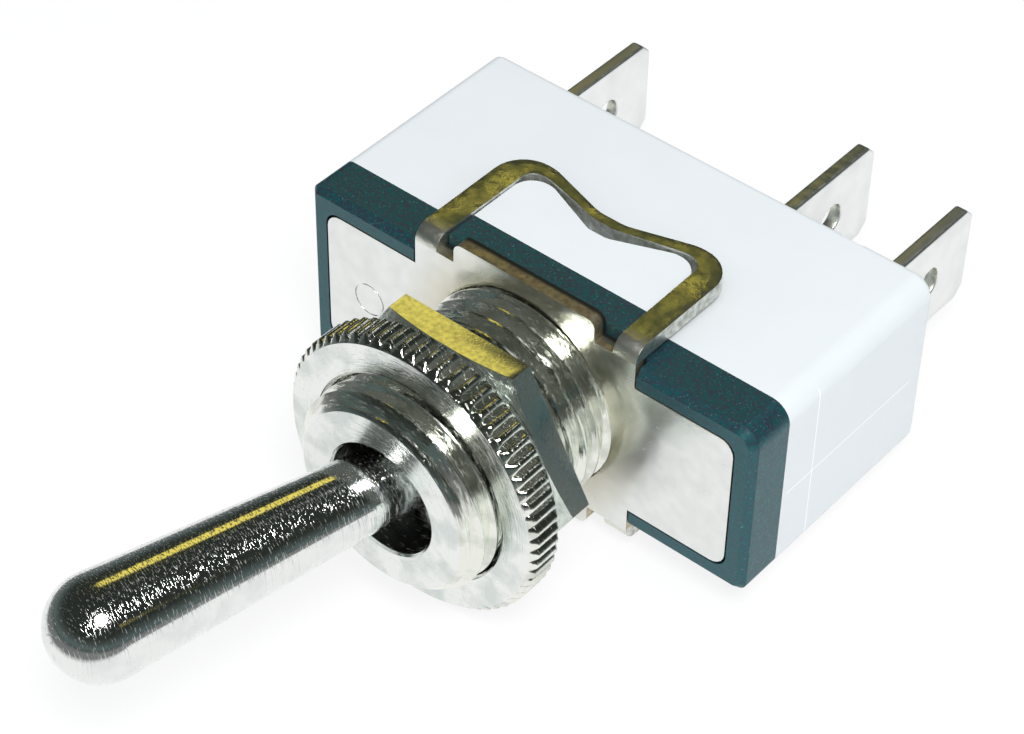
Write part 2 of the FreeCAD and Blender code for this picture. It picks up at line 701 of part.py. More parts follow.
# Cover: black front moulding, recessed for the plate, with a lip that enters the case
def make_cover():
    body = new_body("cover")
    sheet_metal = cell("plate_thickness")
    recess_width = plate_half_length + cell("plate_gap")
    recess_height = plate_half_height + cell("plate_gap")
    sketch = front_sketch(body, ZERO)
    add_rectangle(sketch, -half_width, half_width, -half_thickness, half_thickness)
    pad_to_rear(body, sketch, seam)
    round_long_edges(body)
    dress_edges(body, "Chamfer", lambda edge: near(edge.BoundBox.YMax, ZERO), cell("cover_bevel"))
    sketch = front_sketch(body, ZERO)
    add_rectangle(sketch, -recess_width, recess_width, -recess_height, recess_height)
    cut_to_rear(body, sketch, sheet_metal)
    dress_edges(body, "Fillet",
                lambda edge: (runs_along(edge, "Y") and near(abs(edge.CenterOfMass.x), recess_width)
                              and near(abs(edge.CenterOfMass.z), recess_height)),
                cell("plate_corner"))
    sketch = front_sketch(body, ZERO)
    opening = loop_half + cell("plate_gap")
    add_rectangle(sketch, -opening, opening, -(half_thickness * 2), half_thickness * 2)
    cut_to_rear(body, sketch, sheet_metal)
    sketch = front_sketch(body, sheet_metal)
    add_rectangle(sketch, -pad_half_length, pad_half_length, -pad_top, pad_top)
    pad_to_rear(body, sketch, seam - sheet_metal)
    pocket_half_length = cell("flange_half_length") + cell("flange_gap")
    pocket_half_height = plate_half_height + cell("flange_gap")
    sketch = front_sketch(body, sheet_metal)
    add_rectangle(sketch, -pocket_half_length, pocket_half_length,
                  -pocket_half_height, pocket_half_height)
    cut_to_rear(body, sketch, cell("flange_thickness") + cell("flange_gap") / 2)
    lip_width = cavity_half_width - cell("lip_gap")
    lip_height = cavity_half_thickness - cell("lip_gap")
    sketch = front_sketch(body, seam)
    add_rectangle(sketch, -lip_width, lip_width, -lip_height, lip_height)
    pad_to_rear(body, sketch, cell("lip_depth"))
    wall = cell("lip_wall")
    sketch = front_sketch(body, web_rear)
    add_rectangle(sketch, wall - lip_width, lip_width - wall, wall - lip_height, lip_height - wall)
    cut_to_rear(body, sketch, rear)
    swing = tail_swing(web_rear)
    slot_height = cell("tail_radius") + cell("plunger_gap") * 6
    sketch = front_sketch(body, ZERO)
    add_rectangle(sketch, -swing, swing, -slot_height, slot_height)
    cut_to_rear(body, sketch, rear)
    return body


def round_long_edges(body):
    """Round the four long edges of a moulding, one of them more than the others."""
    def key_edge(edge):
        return edge.CenterOfMass.x > 0 and edge.CenterOfMass.z > 0

    dress_edges(body, "Fillet", lambda edge: runs_along(edge, "Y") and key_edge(edge),
                cell("key_corner_radius"))
    dress_edges(body, "Fillet",
                lambda edge: (runs_along(edge, "Y") and not key_edge(edge)
                              and near(abs(edge.CenterOfMass.x), half_width)
                              and near(abs(edge.CenterOfMass.z), half_thickness)),
                cell("corner_radius"))


def tail_swing(depth):
    """How far the tilted tail's side reaches from the axis at a depth, with some room."""
    tilt = cell("lever_tilt")
    along = (depth - pivot + cell("tail_radius") * sine(tilt)) / cosine(tilt)
    return along * sine(tilt) + cell("tail_radius") * cosine(tilt) + cell("lip_gap") * 6


# Case: white moulding with a pad for each loop and a slot for each tab
def make_case():
    body = new_body("case")
    sketch = front_sketch(body, seam)
    add_rectangle(sketch, -half_width, half_width, -half_thickness, half_thickness)
    pad_to_rear(body, sketch, cell("case_depth"))
    round_long_edges(body)
    dress_edges(body, "Fillet", lambda edge: near(edge.BoundBox.YMin, rear), cell("rear_edge_radius"))
    sketch = plan_sketch(body)
    add_outline(sketch, pad_outline())
    pad_both_ways(body, sketch, pad_top * 2)
    dress_edges(body, "Fillet",
                lambda edge: (runs_along(edge, "Z") and abs(edge.CenterOfMass.z) > half_thickness.number
                              and edge.CenterOfMass.y > seam.number + 1),
                cell("pad_corner"))
    sketch = front_sketch(body, seam)
    add_rectangle(sketch, -cavity_half_width, cavity_half_width,
                  -cavity_half_thickness, cavity_half_thickness)
    cut_to_rear(body, sketch, cavity_rear - seam)
    slot_height = (cell("tab_width") / 2) + cell("tab_gap")
    slot_half = (cell("tab_thickness") / 2) + cell("tab_gap")
    sketch = front_sketch(body, cavity_rear)
    for place in tab_places:
        add_rectangle(sketch, place - slot_half, place + slot_half, -slot_height, slot_height)
    cut_to_rear(body, sketch, cell("rear_wall"))
    half_gate = cell("gate_length") / 2
    sketch = front_sketch(body, rear - cell("gate_depth"))
    gate = half_width - cell("gate_inset")
    add_rectangle(sketch, gate - half_gate, gate + half_gate,
                  half_thickness - cell("gate_depth") * 2, half_thickness)
    cut_to_rear(body, sketch, cell("gate_depth"))
    return body


# Tabs: a flat blade behind the case, bent inside it into a foot on the rear wall
def make_tab(label, place, foot_end, reach, rivet_place):
    body = new_body(label)
    half = cell("tab_thickness") / 2
    end = rear + reach
    to_left = foot_end.number < place.number
    outer, inner = (place + half, place - half) if to_left else (place - half, place + half)
    sketch = plan_sketch(body)
    add_outline(sketch, [
        (outer, foot_front), (outer, end), (inner, end), (inner, cavity_rear),
        (foot_end, cavity_rear), (foot_end, foot_front)])
    pad_both_ways(body, sketch, cell("tab_width"))
    bend = cell("foot_bend")
    dress_edges(body, "Fillet",
                lambda edge: (runs_along(edge, "Z") and near(edge.CenterOfMass.x, outer)
                              and near(edge.CenterOfMass.y, foot_front)),
                bend + half)
    dress_edges(body, "Chamfer",
                lambda edge: (runs_along(edge, "X") and near(edge.CenterOfMass.y, end)),
                cell("tab_tip_chamfer"))
    dress_edges(body, "Chamfer",
                lambda edge: (runs_along(edge, "Z") and near(edge.CenterOfMass.y, end)),
                cell("tab_edge_bevel"))
    sketch = side_sketch(body, place)
    add_circle(sketch, end - cell("tab_hole_place"), ZERO, cell("tab_hole_radius"))
    cut_both_ways(body, sketch, cell("tab_thickness") * 3)
    sketch = front_sketch(body, foot_front)
    add_circle(sketch, rivet_place, ZERO, cell("contact_shank"))
    cut_to_rear(body, sketch, cell("tab_thickness"))
    return body


# Fixed contacts: flat-headed rivets in the feet of the outer tabs
def make_fixed_contact(label, place):
    body = new_body(label)
    sketch = front_sketch(body, foot_front)
    add_circle(sketch, place, ZERO, cell("contact_radius"))
    extrude(body, "Pad", sketch, cell("fixed_contact_height"))
    dress_edges(body, "Chamfer",
                lambda edge: near(edge.BoundBox.YMax, fixed_face), cell("contact_radius") / 10)
    sketch = front_sketch(body, foot_front)
    add_circle(sketch, place, ZERO, cell("contact_shank"))
    pad_to_rear(body, sketch, cell("tab_thickness"))
    return body


# Rocker: the moving contact's strip, bent to a trough over the rod that it turns on
def make_rocker():
    body = new_body("rocker", rocker_axis, cell("rocker_tilt"))
    strip = cell("rocker_sheet")
    half_length = contact + cell("arm_overhang")
    under = cell("arm_level")
    over = under - strip
    wide = cell("trough_half_width")
    top = leg(trough_radius, wide) - trough_centre
    outer = wide + cell("shoulder_top")
    slope = cell("shoulder_slope")
    below = leg(trough_radius + strip, outer - slope * 0.66) - trough_centre
    lower = outer - slope * 0.66
    right = [
        (half_length, under), (half_length, over), (outer + slope, over), (outer, top), (wide, top)]
    right_under = [(lower + slope, under), (lower, below)]
    corners = right + [(-across, along) for across, along in reversed(right)]
    corners += [(-across, along) for across, along in right_under]
    corners += list(reversed(right_under))
    corners[len(right) - 1] = (wide, top, (trough_radius, True))
    corners[len(corners) - 3] = (-lower, below, (trough_radius + strip, False))
    sketch = plan_sketch(body)
    add_outline(sketch, corners)
    pad_both_ways(body, sketch, cell("rocker_width"))
    sketch = plan_sketch(body)
    add_circle(sketch, ZERO, ZERO, cell("trunnion_radius"))
    pad_both_ways(body, sketch, cell("tab_width"))
    for place in (contact, -contact):
        sketch = front_sketch(body, over)
        add_circle(sketch, place, ZERO, cell("contact_shank"))
        cut_to_rear(body, sketch, strip)
    return body


# Moving contacts: dome-headed rivets in the rocker's arms
def make_moving_contact(label, place):
    body = new_body(label, rocker_axis, cell("rocker_tilt"))
    under = cell("arm_level")
    radius = cell("contact_radius")
    dome = cell("contact_dome")
    shank = cell("contact_shank")
    rim = dome_top - dome + leg(dome, radius)
    sketch = plan_sketch(body)
    add_outline(sketch, [
        (ZERO, under - cell("rocker_sheet")), (shank, under - cell("rocker_sheet")), (shank, under),
        (radius, under), (radius, rim, (dome, True)), (ZERO, dome_top)])
    sketch.AttachmentOffset = Placement(Vector(place.number, 0, 0), Rotation())
    sketch.setExpression(".AttachmentOffset.Base.x", place.text)
    turn_about_axis(body, "Revolution", sketch)
    return body


# Rocker cradle: a U of sheet whose two ears hold the rocker's rod in round notches
def make_rocker_cradle():
    body = new_body("rocker_cradle")
    sheet_metal = cell("cradle_sheet")
    ear_inside = cell("rocker_width") / 2 + cell("cradle_play")
    ear_outside = ear_inside + sheet_metal
    half = cell("cradle_half_length")
    base_front = foot_front - sheet_metal
    top = rocker_axis
    sketch = side_sketch(body)
    add_outline(sketch, [
        (foot_front, -ear_outside), (foot_front, ear_outside), (top, ear_outside),
        (top, ear_inside), (base_front, ear_inside), (base_front, -ear_inside),
        (top, -ear_inside), (top, -ear_outside)])
    pad_both_ways(body, sketch, half * 2)
    sketch = plan_sketch(body)
    add_circle(sketch, ZERO, rocker_axis, cell("trunnion_radius") + cell("trunnion_gap"))
    cut_both_ways(body, sketch, ear_outside * 3)
    sketch = front_sketch(body, base_front)
    add_circle(sketch, ZERO, ZERO, cell("contact_shank"))
    cut_to_rear(body, sketch, sheet_metal)
    return body


# Cradle rivet: fixes the cradle to the middle tab's foot
def make_cradle_rivet():
    body = new_body("cradle_rivet")
    base_front = foot_front - cell("cradle_sheet")
    sketch = front_sketch(body, base_front)
    add_circle(sketch, ZERO, ZERO, cell("rivet_radius"))
    extrude(body, "Pad", sketch, cell("rivet_height"))
    dress_edges(body, "Chamfer",
                lambda edge: near(edge.BoundBox.YMax, base_front - cell("rivet_height")),
                cell("rivet_height") / 2)
    sketch = front_sketch(body, base_front)
    add_circle(sketch, ZERO, ZERO, cell("contact_shank"))
    pad_to_rear(body, sketch, cell("cradle_sheet") + cell("tab_thickness"))
    return body


# The knurled nut's place, from which the hexagon nut follows
knurl_front_face = cell("knurl_front") - cell("bushing_length")
knurl_rear = knurl_front_face + cell("knurl_thickness")

# The trough follows the plunger's round end while lever and rocker turn against each other
lever_tilt = cell("lever_tilt")
rocker_tilt = cell("rocker_tilt")
axis_distance = rocker_axis - pivot
plunger_middle = axis_distance - plunger_reach
swung_across = plunger_reach * sine(lever_tilt)
swung_along = axis_distance - plunger_reach * cosine(lever_tilt)
end_across = swung_across * cosine(rocker_tilt) - swung_along * sine(rocker_tilt)
end_rise = (swung_across * sine(rocker_tilt) + swung_along * cosine(rocker_tilt)
            - plunger_middle)
path_radius = (end_across * end_across + end_rise * end_rise) / (end_rise * 2)
trough_centre = plunger_middle + path_radius
trough_radius = trough_centre - cell("rocker_lift")

# The moving contact's dome just clears the fixed contact at the rocker's full tilt
fixed_face = foot_front - cell("fixed_contact_height")
dome_top = cell("contact_dome") + (
    fixed_face - cell("contact_gap") - cell("contact_dome") - rocker_axis
    - contact * sine(rocker_tilt)) / cosine(rocker_tilt)

middle_tab = cell("middle_tab_place")
tab_places = (-outer_tab, middle_tab, outer_tab)
foot_end = contact - cell("foot_overlap")
tab_reach = cell("tab_length")

bodies = [
    make_case(),
    make_cover(),
    make_mounting_bracket(),
    make_bushing(),
    make_pivot_pin(),
    make_bat_lever(),
    make_plunger_spring(),
    make_plunger(),
    make_hex_nut(),
    make_knurled_nut(),
    make_tab("terminal_left", -outer_tab, -foot_end, tab_reach, -contact),
    make_tab("terminal_common", middle_tab, -cell("cradle_half_length"),
             tab_reach + cell("middle_tab_extra"), ZERO),
    make_tab("terminal_right", outer_tab, foot_end, tab_reach, contact),
    make_fixed_contact("fixed_contact_left", -contact),
    make_fixed_contact("fixed_contact_right", contact),
    make_rocker(),
    make_moving_contact("moving_contact_left", -contact),
    make_moving_contact("moving_contact_right", contact),
    make_rocker_cradle(),
    make_cradle_rivet(),
]
doc.recompute()

# Nothing is written unless every feature and every shape is sound
for item in doc.Objects:
    for fault in ("Invalid", "Error"):
        if fault in item.State:
            raise RuntimeError("%s is in state %s" % (item.Label, fault))
for body in bodies:
    if body.Shape.isNull() or not body.Shape.isValid() or len(body.Shape.Solids) != 1:
        raise RuntimeError("%s has no single sound solid" % body.Label)

os.makedirs("parts", exist_ok=True)
for body in bodies:
    body.Shape.exportStep("parts/%s.step" % body.Label)
    print("%-22s %9.3f mm3" % (body.Label, body.Shape.Volume))
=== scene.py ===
import math

import bpy
from mathutils import Matrix, Vector


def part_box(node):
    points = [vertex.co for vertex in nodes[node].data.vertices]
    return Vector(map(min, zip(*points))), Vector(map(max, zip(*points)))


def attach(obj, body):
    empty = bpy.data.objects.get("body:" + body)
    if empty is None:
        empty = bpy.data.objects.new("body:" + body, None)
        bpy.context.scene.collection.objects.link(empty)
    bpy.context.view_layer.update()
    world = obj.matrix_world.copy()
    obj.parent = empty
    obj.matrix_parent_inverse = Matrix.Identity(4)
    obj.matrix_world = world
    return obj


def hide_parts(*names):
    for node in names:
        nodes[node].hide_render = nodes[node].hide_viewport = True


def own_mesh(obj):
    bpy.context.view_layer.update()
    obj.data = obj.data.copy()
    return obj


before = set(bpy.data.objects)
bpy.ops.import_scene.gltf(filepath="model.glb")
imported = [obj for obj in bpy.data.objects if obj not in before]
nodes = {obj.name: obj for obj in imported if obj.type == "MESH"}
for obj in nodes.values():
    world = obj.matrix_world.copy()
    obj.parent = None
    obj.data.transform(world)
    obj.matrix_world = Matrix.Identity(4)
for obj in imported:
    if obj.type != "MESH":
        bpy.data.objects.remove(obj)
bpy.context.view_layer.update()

MM = 0.001

# Camera, at the photograph's viewing angle
VIEW_AZIMUTH = math.radians(39.23)
VIEW_ELEVATION = math.radians(43.16)
VIEW_ROLL = math.radians(1.17)
VIEW_DISTANCE = 153.3 * MM
VIEW_ASIDE = -0.46 * MM
VIEW_UP = 0.99 * MM
LENS = 103.6


def box_of(node_name):
    """The low and the high corner of a CAD node, in millimetres."""
    return [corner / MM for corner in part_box(node_name)]


# Places and sizes in millimetres, as in the part's source
nut_low, nut_high = box_of("knurled_nut")
hex_low, hex_high = box_of("hex_nut")
bracket_low, bracket_high = box_of("mounting_bracket")
BUSHING_FRONT = box_of("bushing")[0].y
NUT_RADIUS = 8.3
NUT_REAR_RADIUS = 7.05
NUT_REAR_BEVEL = 1.05
NUT_FACE_RADIUS = 7.88
NUT_BORE = 6.05
BORE_CHAMFER = 0.2
THREAD_RADIUS = 6.0
THREAD_ROOT = 5.4
THREAD_PITCH = 1.0
THREAD_LEAD = 0.77
THREAD_END = -0.3
FRONT_RADIUS = 5.26
MOUTH_RADIUS = 3.3
MOUTH_CHAMFER = 0.12
REAR_BORE = 4.0
REAR_BORE_START = -3.0
BORE_CONE = 0.7
SHEET = 0.9
FLANGE = 0.8
FLANGE_HALF_LENGTH = 7.0
PIVOT = -6.95
PIN_GROOVE = 0.8
PIN_GROOVE_LENGTH = 10.0
HEX_FLATS = 14.0
LEVER_TILT = math.radians(13.3)
PLATE_HALF_LENGTH = 13.5
PLATE_HALF_HEIGHT = 4.35
PLATE_CORNER = 0.9
LOOP_HALF = 7.275
LOOP_INSIDE = 5.825
LOOP_REACH = 8.4
LOOP_BAR = 0.85
LOOP_CORNER = 2.0
LOOP_INNER_CORNER = 0.85
LOOP_DRAW_IN = 0.1
WAVE_RADIUS = 2.6
DIP_BAR = 0.63
DIP = 1.2
DIP_HALF_WIDTH = 0.9
BUMP_LENGTH = 2.55
STRAP_TOP = 6.8
BEND_START = 5.9
TONGUE_HALF_WIDTH = 4.65
TONGUE_REACH = 7.2
TONGUE_CORNER = 0.55
INDEX_PLACE = (-10.6, -0.2)
INDEX_RADIUS = 0.99
INDEX_HALF_LINE = 0.04
INDEX_DEPTH = 0.06
TAIL_LENGTH = 13.2
SPRING_COIL = 0.93
SPRING_WIRE = 0.15
SPRING_START = 5.0
SPRING_LENGTH = 4.6
SPRING_TURNS = 5
TAB_SHEET = 0.8
TAB_HALF_WIDTH = 3.15
TAB_HOLE = 0.95
TAB_HOLE_PLACE = 4.0
TAB_CHAMFER = 0.8
TAB_BEND = 0.7
TAB_END_BEVEL = 0.2
RIVET_SHANK = 0.7
RIVET_PLACES = {"terminal_left": -8.4, "terminal_common": 0.0, "terminal_right": 8.4}
CASE_REAR = 15.5

# Worn and rounded edges, for the looks alone
HEX_EDGE = 0.07
BRACKET_EDGE = 0.24
TAB_EDGE = 0.18

# Mould lines on the right end of the case: the axis and the place of each, and their limits
SEAMS = ((2, -0.67), (1, 5.46))
SEAM_LIMITS = ((0, 14.6, 15.0), (1, 3.3, 14.2))
SEAM_HALF_WIDTH = 0.035

# Cutters reach this far past the rear of the sheet
PAST_REAR = 3


# Selection and meshes
def deselect_all():
    if bpy.context.object and bpy.context.object.mode == "EDIT":
        bpy.ops.object.mode_set(mode="OBJECT")
    bpy.ops.object.select_all(action="DESELECT")


def pick(*pieces):
    """Select these pieces alone, with the first one active."""
    deselect_all()
    for piece in pieces:
        piece.select_set(True)
    bpy.context.view_layer.objects.active = pieces[0]


def start_edit(piece, action="SELECT"):
    """Open the piece with everything selected, or nothing."""
    pick(piece)
    bpy.ops.object.mode_set(mode="EDIT")
    bpy.ops.mesh.select_all(action=action)


def end_edit():
    bpy.ops.object.mode_set(mode="OBJECT")


def edit_vertices(piece, test):
    """Open the piece with the vertices selected whose place in millimetres passes the test."""
    start_edit(piece, "DESELECT")
    end_edit()
    for vertex in piece.data.vertices:
        vertex.select = test(vertex.co / MM)
    bpy.ops.object.mode_set(mode="EDIT")


def apply_modifier(piece, modifier):
    pick(piece)
    bpy.ops.object.modifier_apply(modifier=modifier.name)


def merge_doubles(piece, distance=0.002):
    start_edit(piece)
    bpy.ops.mesh.remove_doubles(threshold=distance * MM)
    bpy.ops.mesh.normals_make_consistent(inside=False)
    end_edit()


def join(*pieces):
    """Several pieces as one mesh, which keeps the first one's name."""
    pick(*pieces)
    bpy.ops.object.join()
    return pieces[0]


def combine(piece, other, operation):
    """A boolean of two closed pieces, after which the other one is gone."""
    cut = piece.modifiers.new("cut", "BOOLEAN")
    cut.object = other
    cut.operation = operation
    cut.solver = "EXACT"
    apply_modifier(piece, cut)
    bpy.data.objects.remove(other)
    return piece


def soften(piece, width, segments, angle=40):
    """A small bevel on the sharp edges."""
    bevel = piece.modifiers.new("soft edges", "BEVEL")
    bevel.width = width * MM
    bevel.segments = segments
    bevel.limit_method = "ANGLE"
    bevel.angle_limit = math.radians(angle)
    apply_modifier(piece, bevel)


def slice_off(piece, point, normal):
    """Cut away what lies beyond a plane, and close the cut."""
    start_edit(piece)
    bpy.ops.mesh.bisect(plane_co=Vector(point) * MM, plane_no=normal, use_fill=True,
                        clear_outer=True)
    end_edit()


def add_finishes(piece, finishes, second=None):
    """Give the piece its finishes; the second is for the faces that pass the test."""
    for finish in finishes:
        piece.data.materials.append(finish)
    if second:
        for face in piece.data.polygons:
            if second(face):
                face.material_index = 1


def dress(piece, name, finish, sharp=35):
    """Smooth the finished piece, name it and give it its finish, unless it has its own already."""
    pick(piece)
    bpy.ops.object.shade_smooth_by_angle(angle=math.radians(sharp))
    piece.name = name
    if not piece.data.materials:
        piece.data.materials.append(finish)
    return piece


def stand_for(piece, node_name, body):
    """Let a finished piece ride on its body in the place of its CAD node."""
    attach(piece, body)
    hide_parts(node_name)


def off_axis(place):
    """The distance from the Y axis."""
    return math.hypot(place.x, place.z)


# Drawing
def draw_chain(name, points):
    """A chain of edges through the points, drawn from one vertex by extruding it."""
    deselect_all()
    bpy.ops.mesh.primitive_plane_add(size=MM)
    piece = bpy.context.object
    piece.name = name
    bpy.ops.object.mode_set(mode="EDIT")
    bpy.ops.mesh.merge(type="CENTER")
    bpy.ops.transform.translate(value=Vector(points[0]) * MM)
    for start, end in zip(points, points[1:]):
        step = (Vector(end) - Vector(start)) * MM
        bpy.ops.mesh.extrude_region_move(TRANSFORM_OT_translate={"value": step})
    end_edit()
    return piece


def round_path(corners, count=8):
    """Plan points (x, y) of a path whose corners (x, y, radius) are rounded by arcs."""
    points = []
    for index, (x, y, radius) in enumerate(corners):
        here = Vector((x, y))
        if radius == 0 or index in (0, len(corners) - 1):
            points.append(here)
            continue
        before = (Vector(corners[index - 1][:2]) - here).normalized()
        after = (Vector(corners[index + 1][:2]) - here).normalized()
        half = before.angle(after) / 2
        centre = here + (before + after).normalized() * radius / math.sin(half)
        first = here + before * radius / math.tan(half) - centre
        turn = math.pi - 2 * half
        if before.x * after.y - before.y * after.x > 0:
            turn = -turn
        for part in range(count + 1):
            angle = turn * part / count
            points.append(centre + Matrix.Rotation(angle, 2) @ first)
    return points


def turn_profile(name, profile, steps=96):
    """A lathe profile (radius, along) turned about the Y axis."""
    piece = draw_chain(name, [(radius, along, 0) for radius, along in profile])
    turning = piece.modifiers.new("turning", "SCREW")
    turning.axis = "Y"
    turning.angle = 2 * math.pi
    turning.steps = turning.render_steps = steps
    turning.use_merge_vertices = True
    turning.merge_threshold = 0.001 * MM
    apply_modifier(piece, turning)
    merge_doubles(piece)
    return piece


def wind_coil(name, section, turns, pitch, steps=96):
    """A closed section (radius, along) wound about the Y axis, with its two ends closed."""
    points = [(radius, along, 0) for radius, along in section]
    coil = draw_chain(name, points + points[:1])
    merge_doubles(coil)
    winding = coil.modifiers.new("winding", "SCREW")
    winding.axis = "Y"
    winding.angle = 2 * math.pi
    winding.iterations = turns
    winding.screw_offset = pitch * MM
    winding.steps = winding.render_steps = steps
    apply_modifier(coil, winding)
    start_edit(coil)
    bpy.ops.mesh.fill_holes(sides=len(section))
    bpy.ops.mesh.normals_make_consistent(inside=False)
    end_edit()
    return coil


def fill_outline(name, points):
    """One face within a closed outline."""
    piece = draw_chain(name, points + points[:1])
    merge_doubles(piece)
    start_edit(piece)
    bpy.ops.mesh.edge_face_add()
    end_edit()
    return piece


def raise_outline(name, outline, low, high):
    """A closed outline (x, y) filled at one level and extruded up to another."""
    piece = fill_outline(name, [(x, y, low) for x, y in outline])
    start_edit(piece)
    bpy.ops.mesh.extrude_region_move(
        TRANSFORM_OT_translate={"value": (0, 0, (high - low) * MM)})
    bpy.ops.mesh.select_all(action="SELECT")
    bpy.ops.mesh.normals_make_consistent(inside=False)
    end_edit()
    return piece


def add_rod(name, radius, start, end, vertices=48):
    """A cylinder between two points."""
    deselect_all()
    start, end = Vector(start), Vector(end)
    bpy.ops.mesh.primitive_cylinder_add(vertices=vertices, radius=radius * MM,
                                        depth=(end - start).length * MM)
    rod = bpy.context.object
    rod.name = name
    turn = (end - start).to_track_quat("Z", "Y").to_matrix().to_4x4()
    rod.data.transform(Matrix.Translation((start + end) / 2 * MM) @ turn)
    return rod


def add_block(name, low, high):
    deselect_all()
    low, high = Vector(low), Vector(high)
    bpy.ops.mesh.primitive_cube_add(size=1)
    block = bpy.context.object
    block.name = name
    size = (high - low) * MM
    block.data.transform(Matrix.Translation((low + high) / 2 * MM) @ Matrix.Diagonal((*size, 1)))
    return block


# Shader helpers
def node(tree, kind, **settings):
    made = tree.nodes.new(kind)
    for name, value in settings.items():
        setattr(made, name, value)
    return made


def wire(tree, source, target):
    """Link a socket to another one, or give that one a plain value."""
    if isinstance(source, bpy.types.NodeSocket):
        tree.links.new(source, target)
    else:
        target.default_value = source


def object_place(tree):
    return node(tree, "ShaderNodeTexCoord").outputs["Object"]


def split_place(tree, place):
    parts = node(tree, "ShaderNodeSeparateXYZ")
    wire(tree, place, parts.inputs[0])
    return parts.outputs


def axis_distance(tree, parts):
    """The distance from the Y axis, of a place that was split."""
    flat = node(tree, "ShaderNodeCombineXYZ")
    wire(tree, parts[0], flat.inputs[0])
    wire(tree, parts[2], flat.inputs[2])
    length = node(tree, "ShaderNodeVectorMath", operation="LENGTH")
    wire(tree, flat.outputs[0], length.inputs[0])
    return length.outputs["Value"]


def calculate(tree, operation, *values, clamp=False):
    made = node(tree, "ShaderNodeMath", operation=operation, use_clamp=clamp)
    for value, socket in zip(values, made.inputs):
        wire(tree, value, socket)
    return made.outputs[0]


def mix_colour(tree, factor, first, second):
    mixed = node(tree, "ShaderNodeMix", data_type="RGBA")
    for index, value in ((0, factor), (6, first), (7, second)):
        wire(tree, value, mixed.inputs[index])
    return mixed.outputs[2]


def mix_value(tree, factor, first, second):
    mixed = node(tree, "ShaderNodeMix", data_type="FLOAT")
    for index, value in ((0, factor), (2, first), (3, second)):
        wire(tree, value, mixed.inputs[index])
    return mixed.outputs[0]


def spread(tree, source, low, high, to_low, to_high):
    """Spread what lies between two values out between two others."""
    mapped = node(tree, "ShaderNodeMapRange")
    for value, socket in zip((source, low, high, to_low, to_high), mapped.inputs):
        wire(tree, value, socket)
    return mapped.outputs[0]


def add_noise(tree, place, scale, detail):
    texture = node(tree, "ShaderNodeTexNoise")
    for socket, value in (("Vector", place), ("Scale", scale), ("Detail", detail)):
        wire(tree, value, texture.inputs[socket])
    return texture.outputs[0]


def new_group(name, inputs, outputs):
    """A shader node group with named inputs, (name, kind, value), and number outputs."""
    group = bpy.data.node_groups.new(name, "ShaderNodeTree")
    for socket_name, kind, value in inputs:
        socket = group.interface.new_socket(socket_name, in_out="INPUT", socket_type=kind)
        if value is not None:
            socket.default_value = value
    for socket_name in outputs:
        group.interface.new_socket(socket_name, in_out="OUTPUT", socket_type="NodeSocketFloat")
    taken = group.nodes.new("NodeGroupInput").outputs
    return group, taken, group.nodes.new("NodeGroupOutput").inputs


def use_group(tree, group, **values):
    """Place a group, with a value or a link for each input named; what it gives comes back."""
    placed = tree.nodes.new("ShaderNodeGroup")
    placed.node_tree = group
    for name, value in values.items():
        wire(tree, value, placed.inputs[name])
    return placed.outputs


# Node groups that several finishes share
def grain_group():
    """Moulded or plated grain: a height and a mask from two sizes of noise."""
    group, taken, given = new_group(
        "grain",
        [("Coarse", "NodeSocketFloat", 400.0), ("Fine", "NodeSocketFloat", 3000.0),
         ("Share", "NodeSocketFloat", 0.5)],
        ["Height", "Mask"])
    place = object_place(group)
    coarse = add_noise(group, place, taken["Coarse"], 3.0)
    fine = add_noise(group, place, taken["Fine"], 2.0)
    wire(group, mix_value(group, taken["Share"], coarse, fine), given["Height"])
    wire(group, coarse, given["Mask"])
    return group


def turning_group():
    """Lines left by a lathe about the Y axis, as a height, and the deepest as scratches."""
    group, taken, given = new_group(
        "turning",
        [("Place", "NodeSocketVector", None), ("Rings", "NodeSocketFloat", 9000.0),
         ("Along", "NodeSocketFloat", 9000.0), ("Around", "NodeSocketFloat", 0.0)],
        ["Height", "Scratch"])
    parts = split_place(group, taken["Place"])
    turn = node(group, "ShaderNodeCombineXYZ")
    for length, scale, socket in zip((axis_distance(group, parts), parts[1], parts[0]),
                                     ("Rings", "Along", "Around"), turn.inputs):
        wire(group, calculate(group, "MULTIPLY", length, taken[scale]), socket)
    lines = add_noise(group, turn.outputs[0], 1.0, 2.0)
    wire(group, lines, given["Height"])
    shallow, deep = 0.56, 0.74
    wire(group, spread(group, lines, shallow, deep, 0.0, 1.0), given["Scratch"])
    return group


def speckle_group():
    """Two fine moulding tints, one against the other, as a mask, and sparse bright grains."""
    group, taken, given = new_group(
        "speckle",
        [("Size", "NodeSocketFloat", 6000.0), ("Sparse", "NodeSocketFloat", 0.72)],
        ["Mask", "Grains"])
    place = object_place(group)
    tints = add_noise(group, place, taken["Size"], 2.0)
    grain_size = calculate(group, "MULTIPLY", taken["Size"], 1.7)
    grains = add_noise(group, place, grain_size, 2.0)
    wire(group, spread(group, tints, 0.42, 0.58, 0.0, 1.0), given["Mask"])
    wire(group, calculate(group, "GREATER_THAN", grains, taken["Sparse"]), given["Grains"])
    return group


GRAIN = grain_group()
TURNING = turning_group()
SPECKLE = speckle_group()


# Parts of a finish
def new_material(name, colour, roughness, metallic, **sockets):
    """A Principled material with plain values on its sockets; the nodes are added by its maker."""
    material = bpy.data.materials.new(name)
    material.use_nodes = True
    shader = material.node_tree.nodes["Principled BSDF"]
    shader.inputs["Base Color"].default_value = (*colour, 1.0)
    shader.inputs["Roughness"].default_value = roughness
    shader.inputs["Metallic"].default_value = metallic
    for socket, value in sockets.items():
        shader.inputs[socket.replace("_", " ")].default_value = value
    return material, material.node_tree, shader


def tree_and_shader(material):
    return material.node_tree, material.node_tree.nodes["Principled BSDF"]


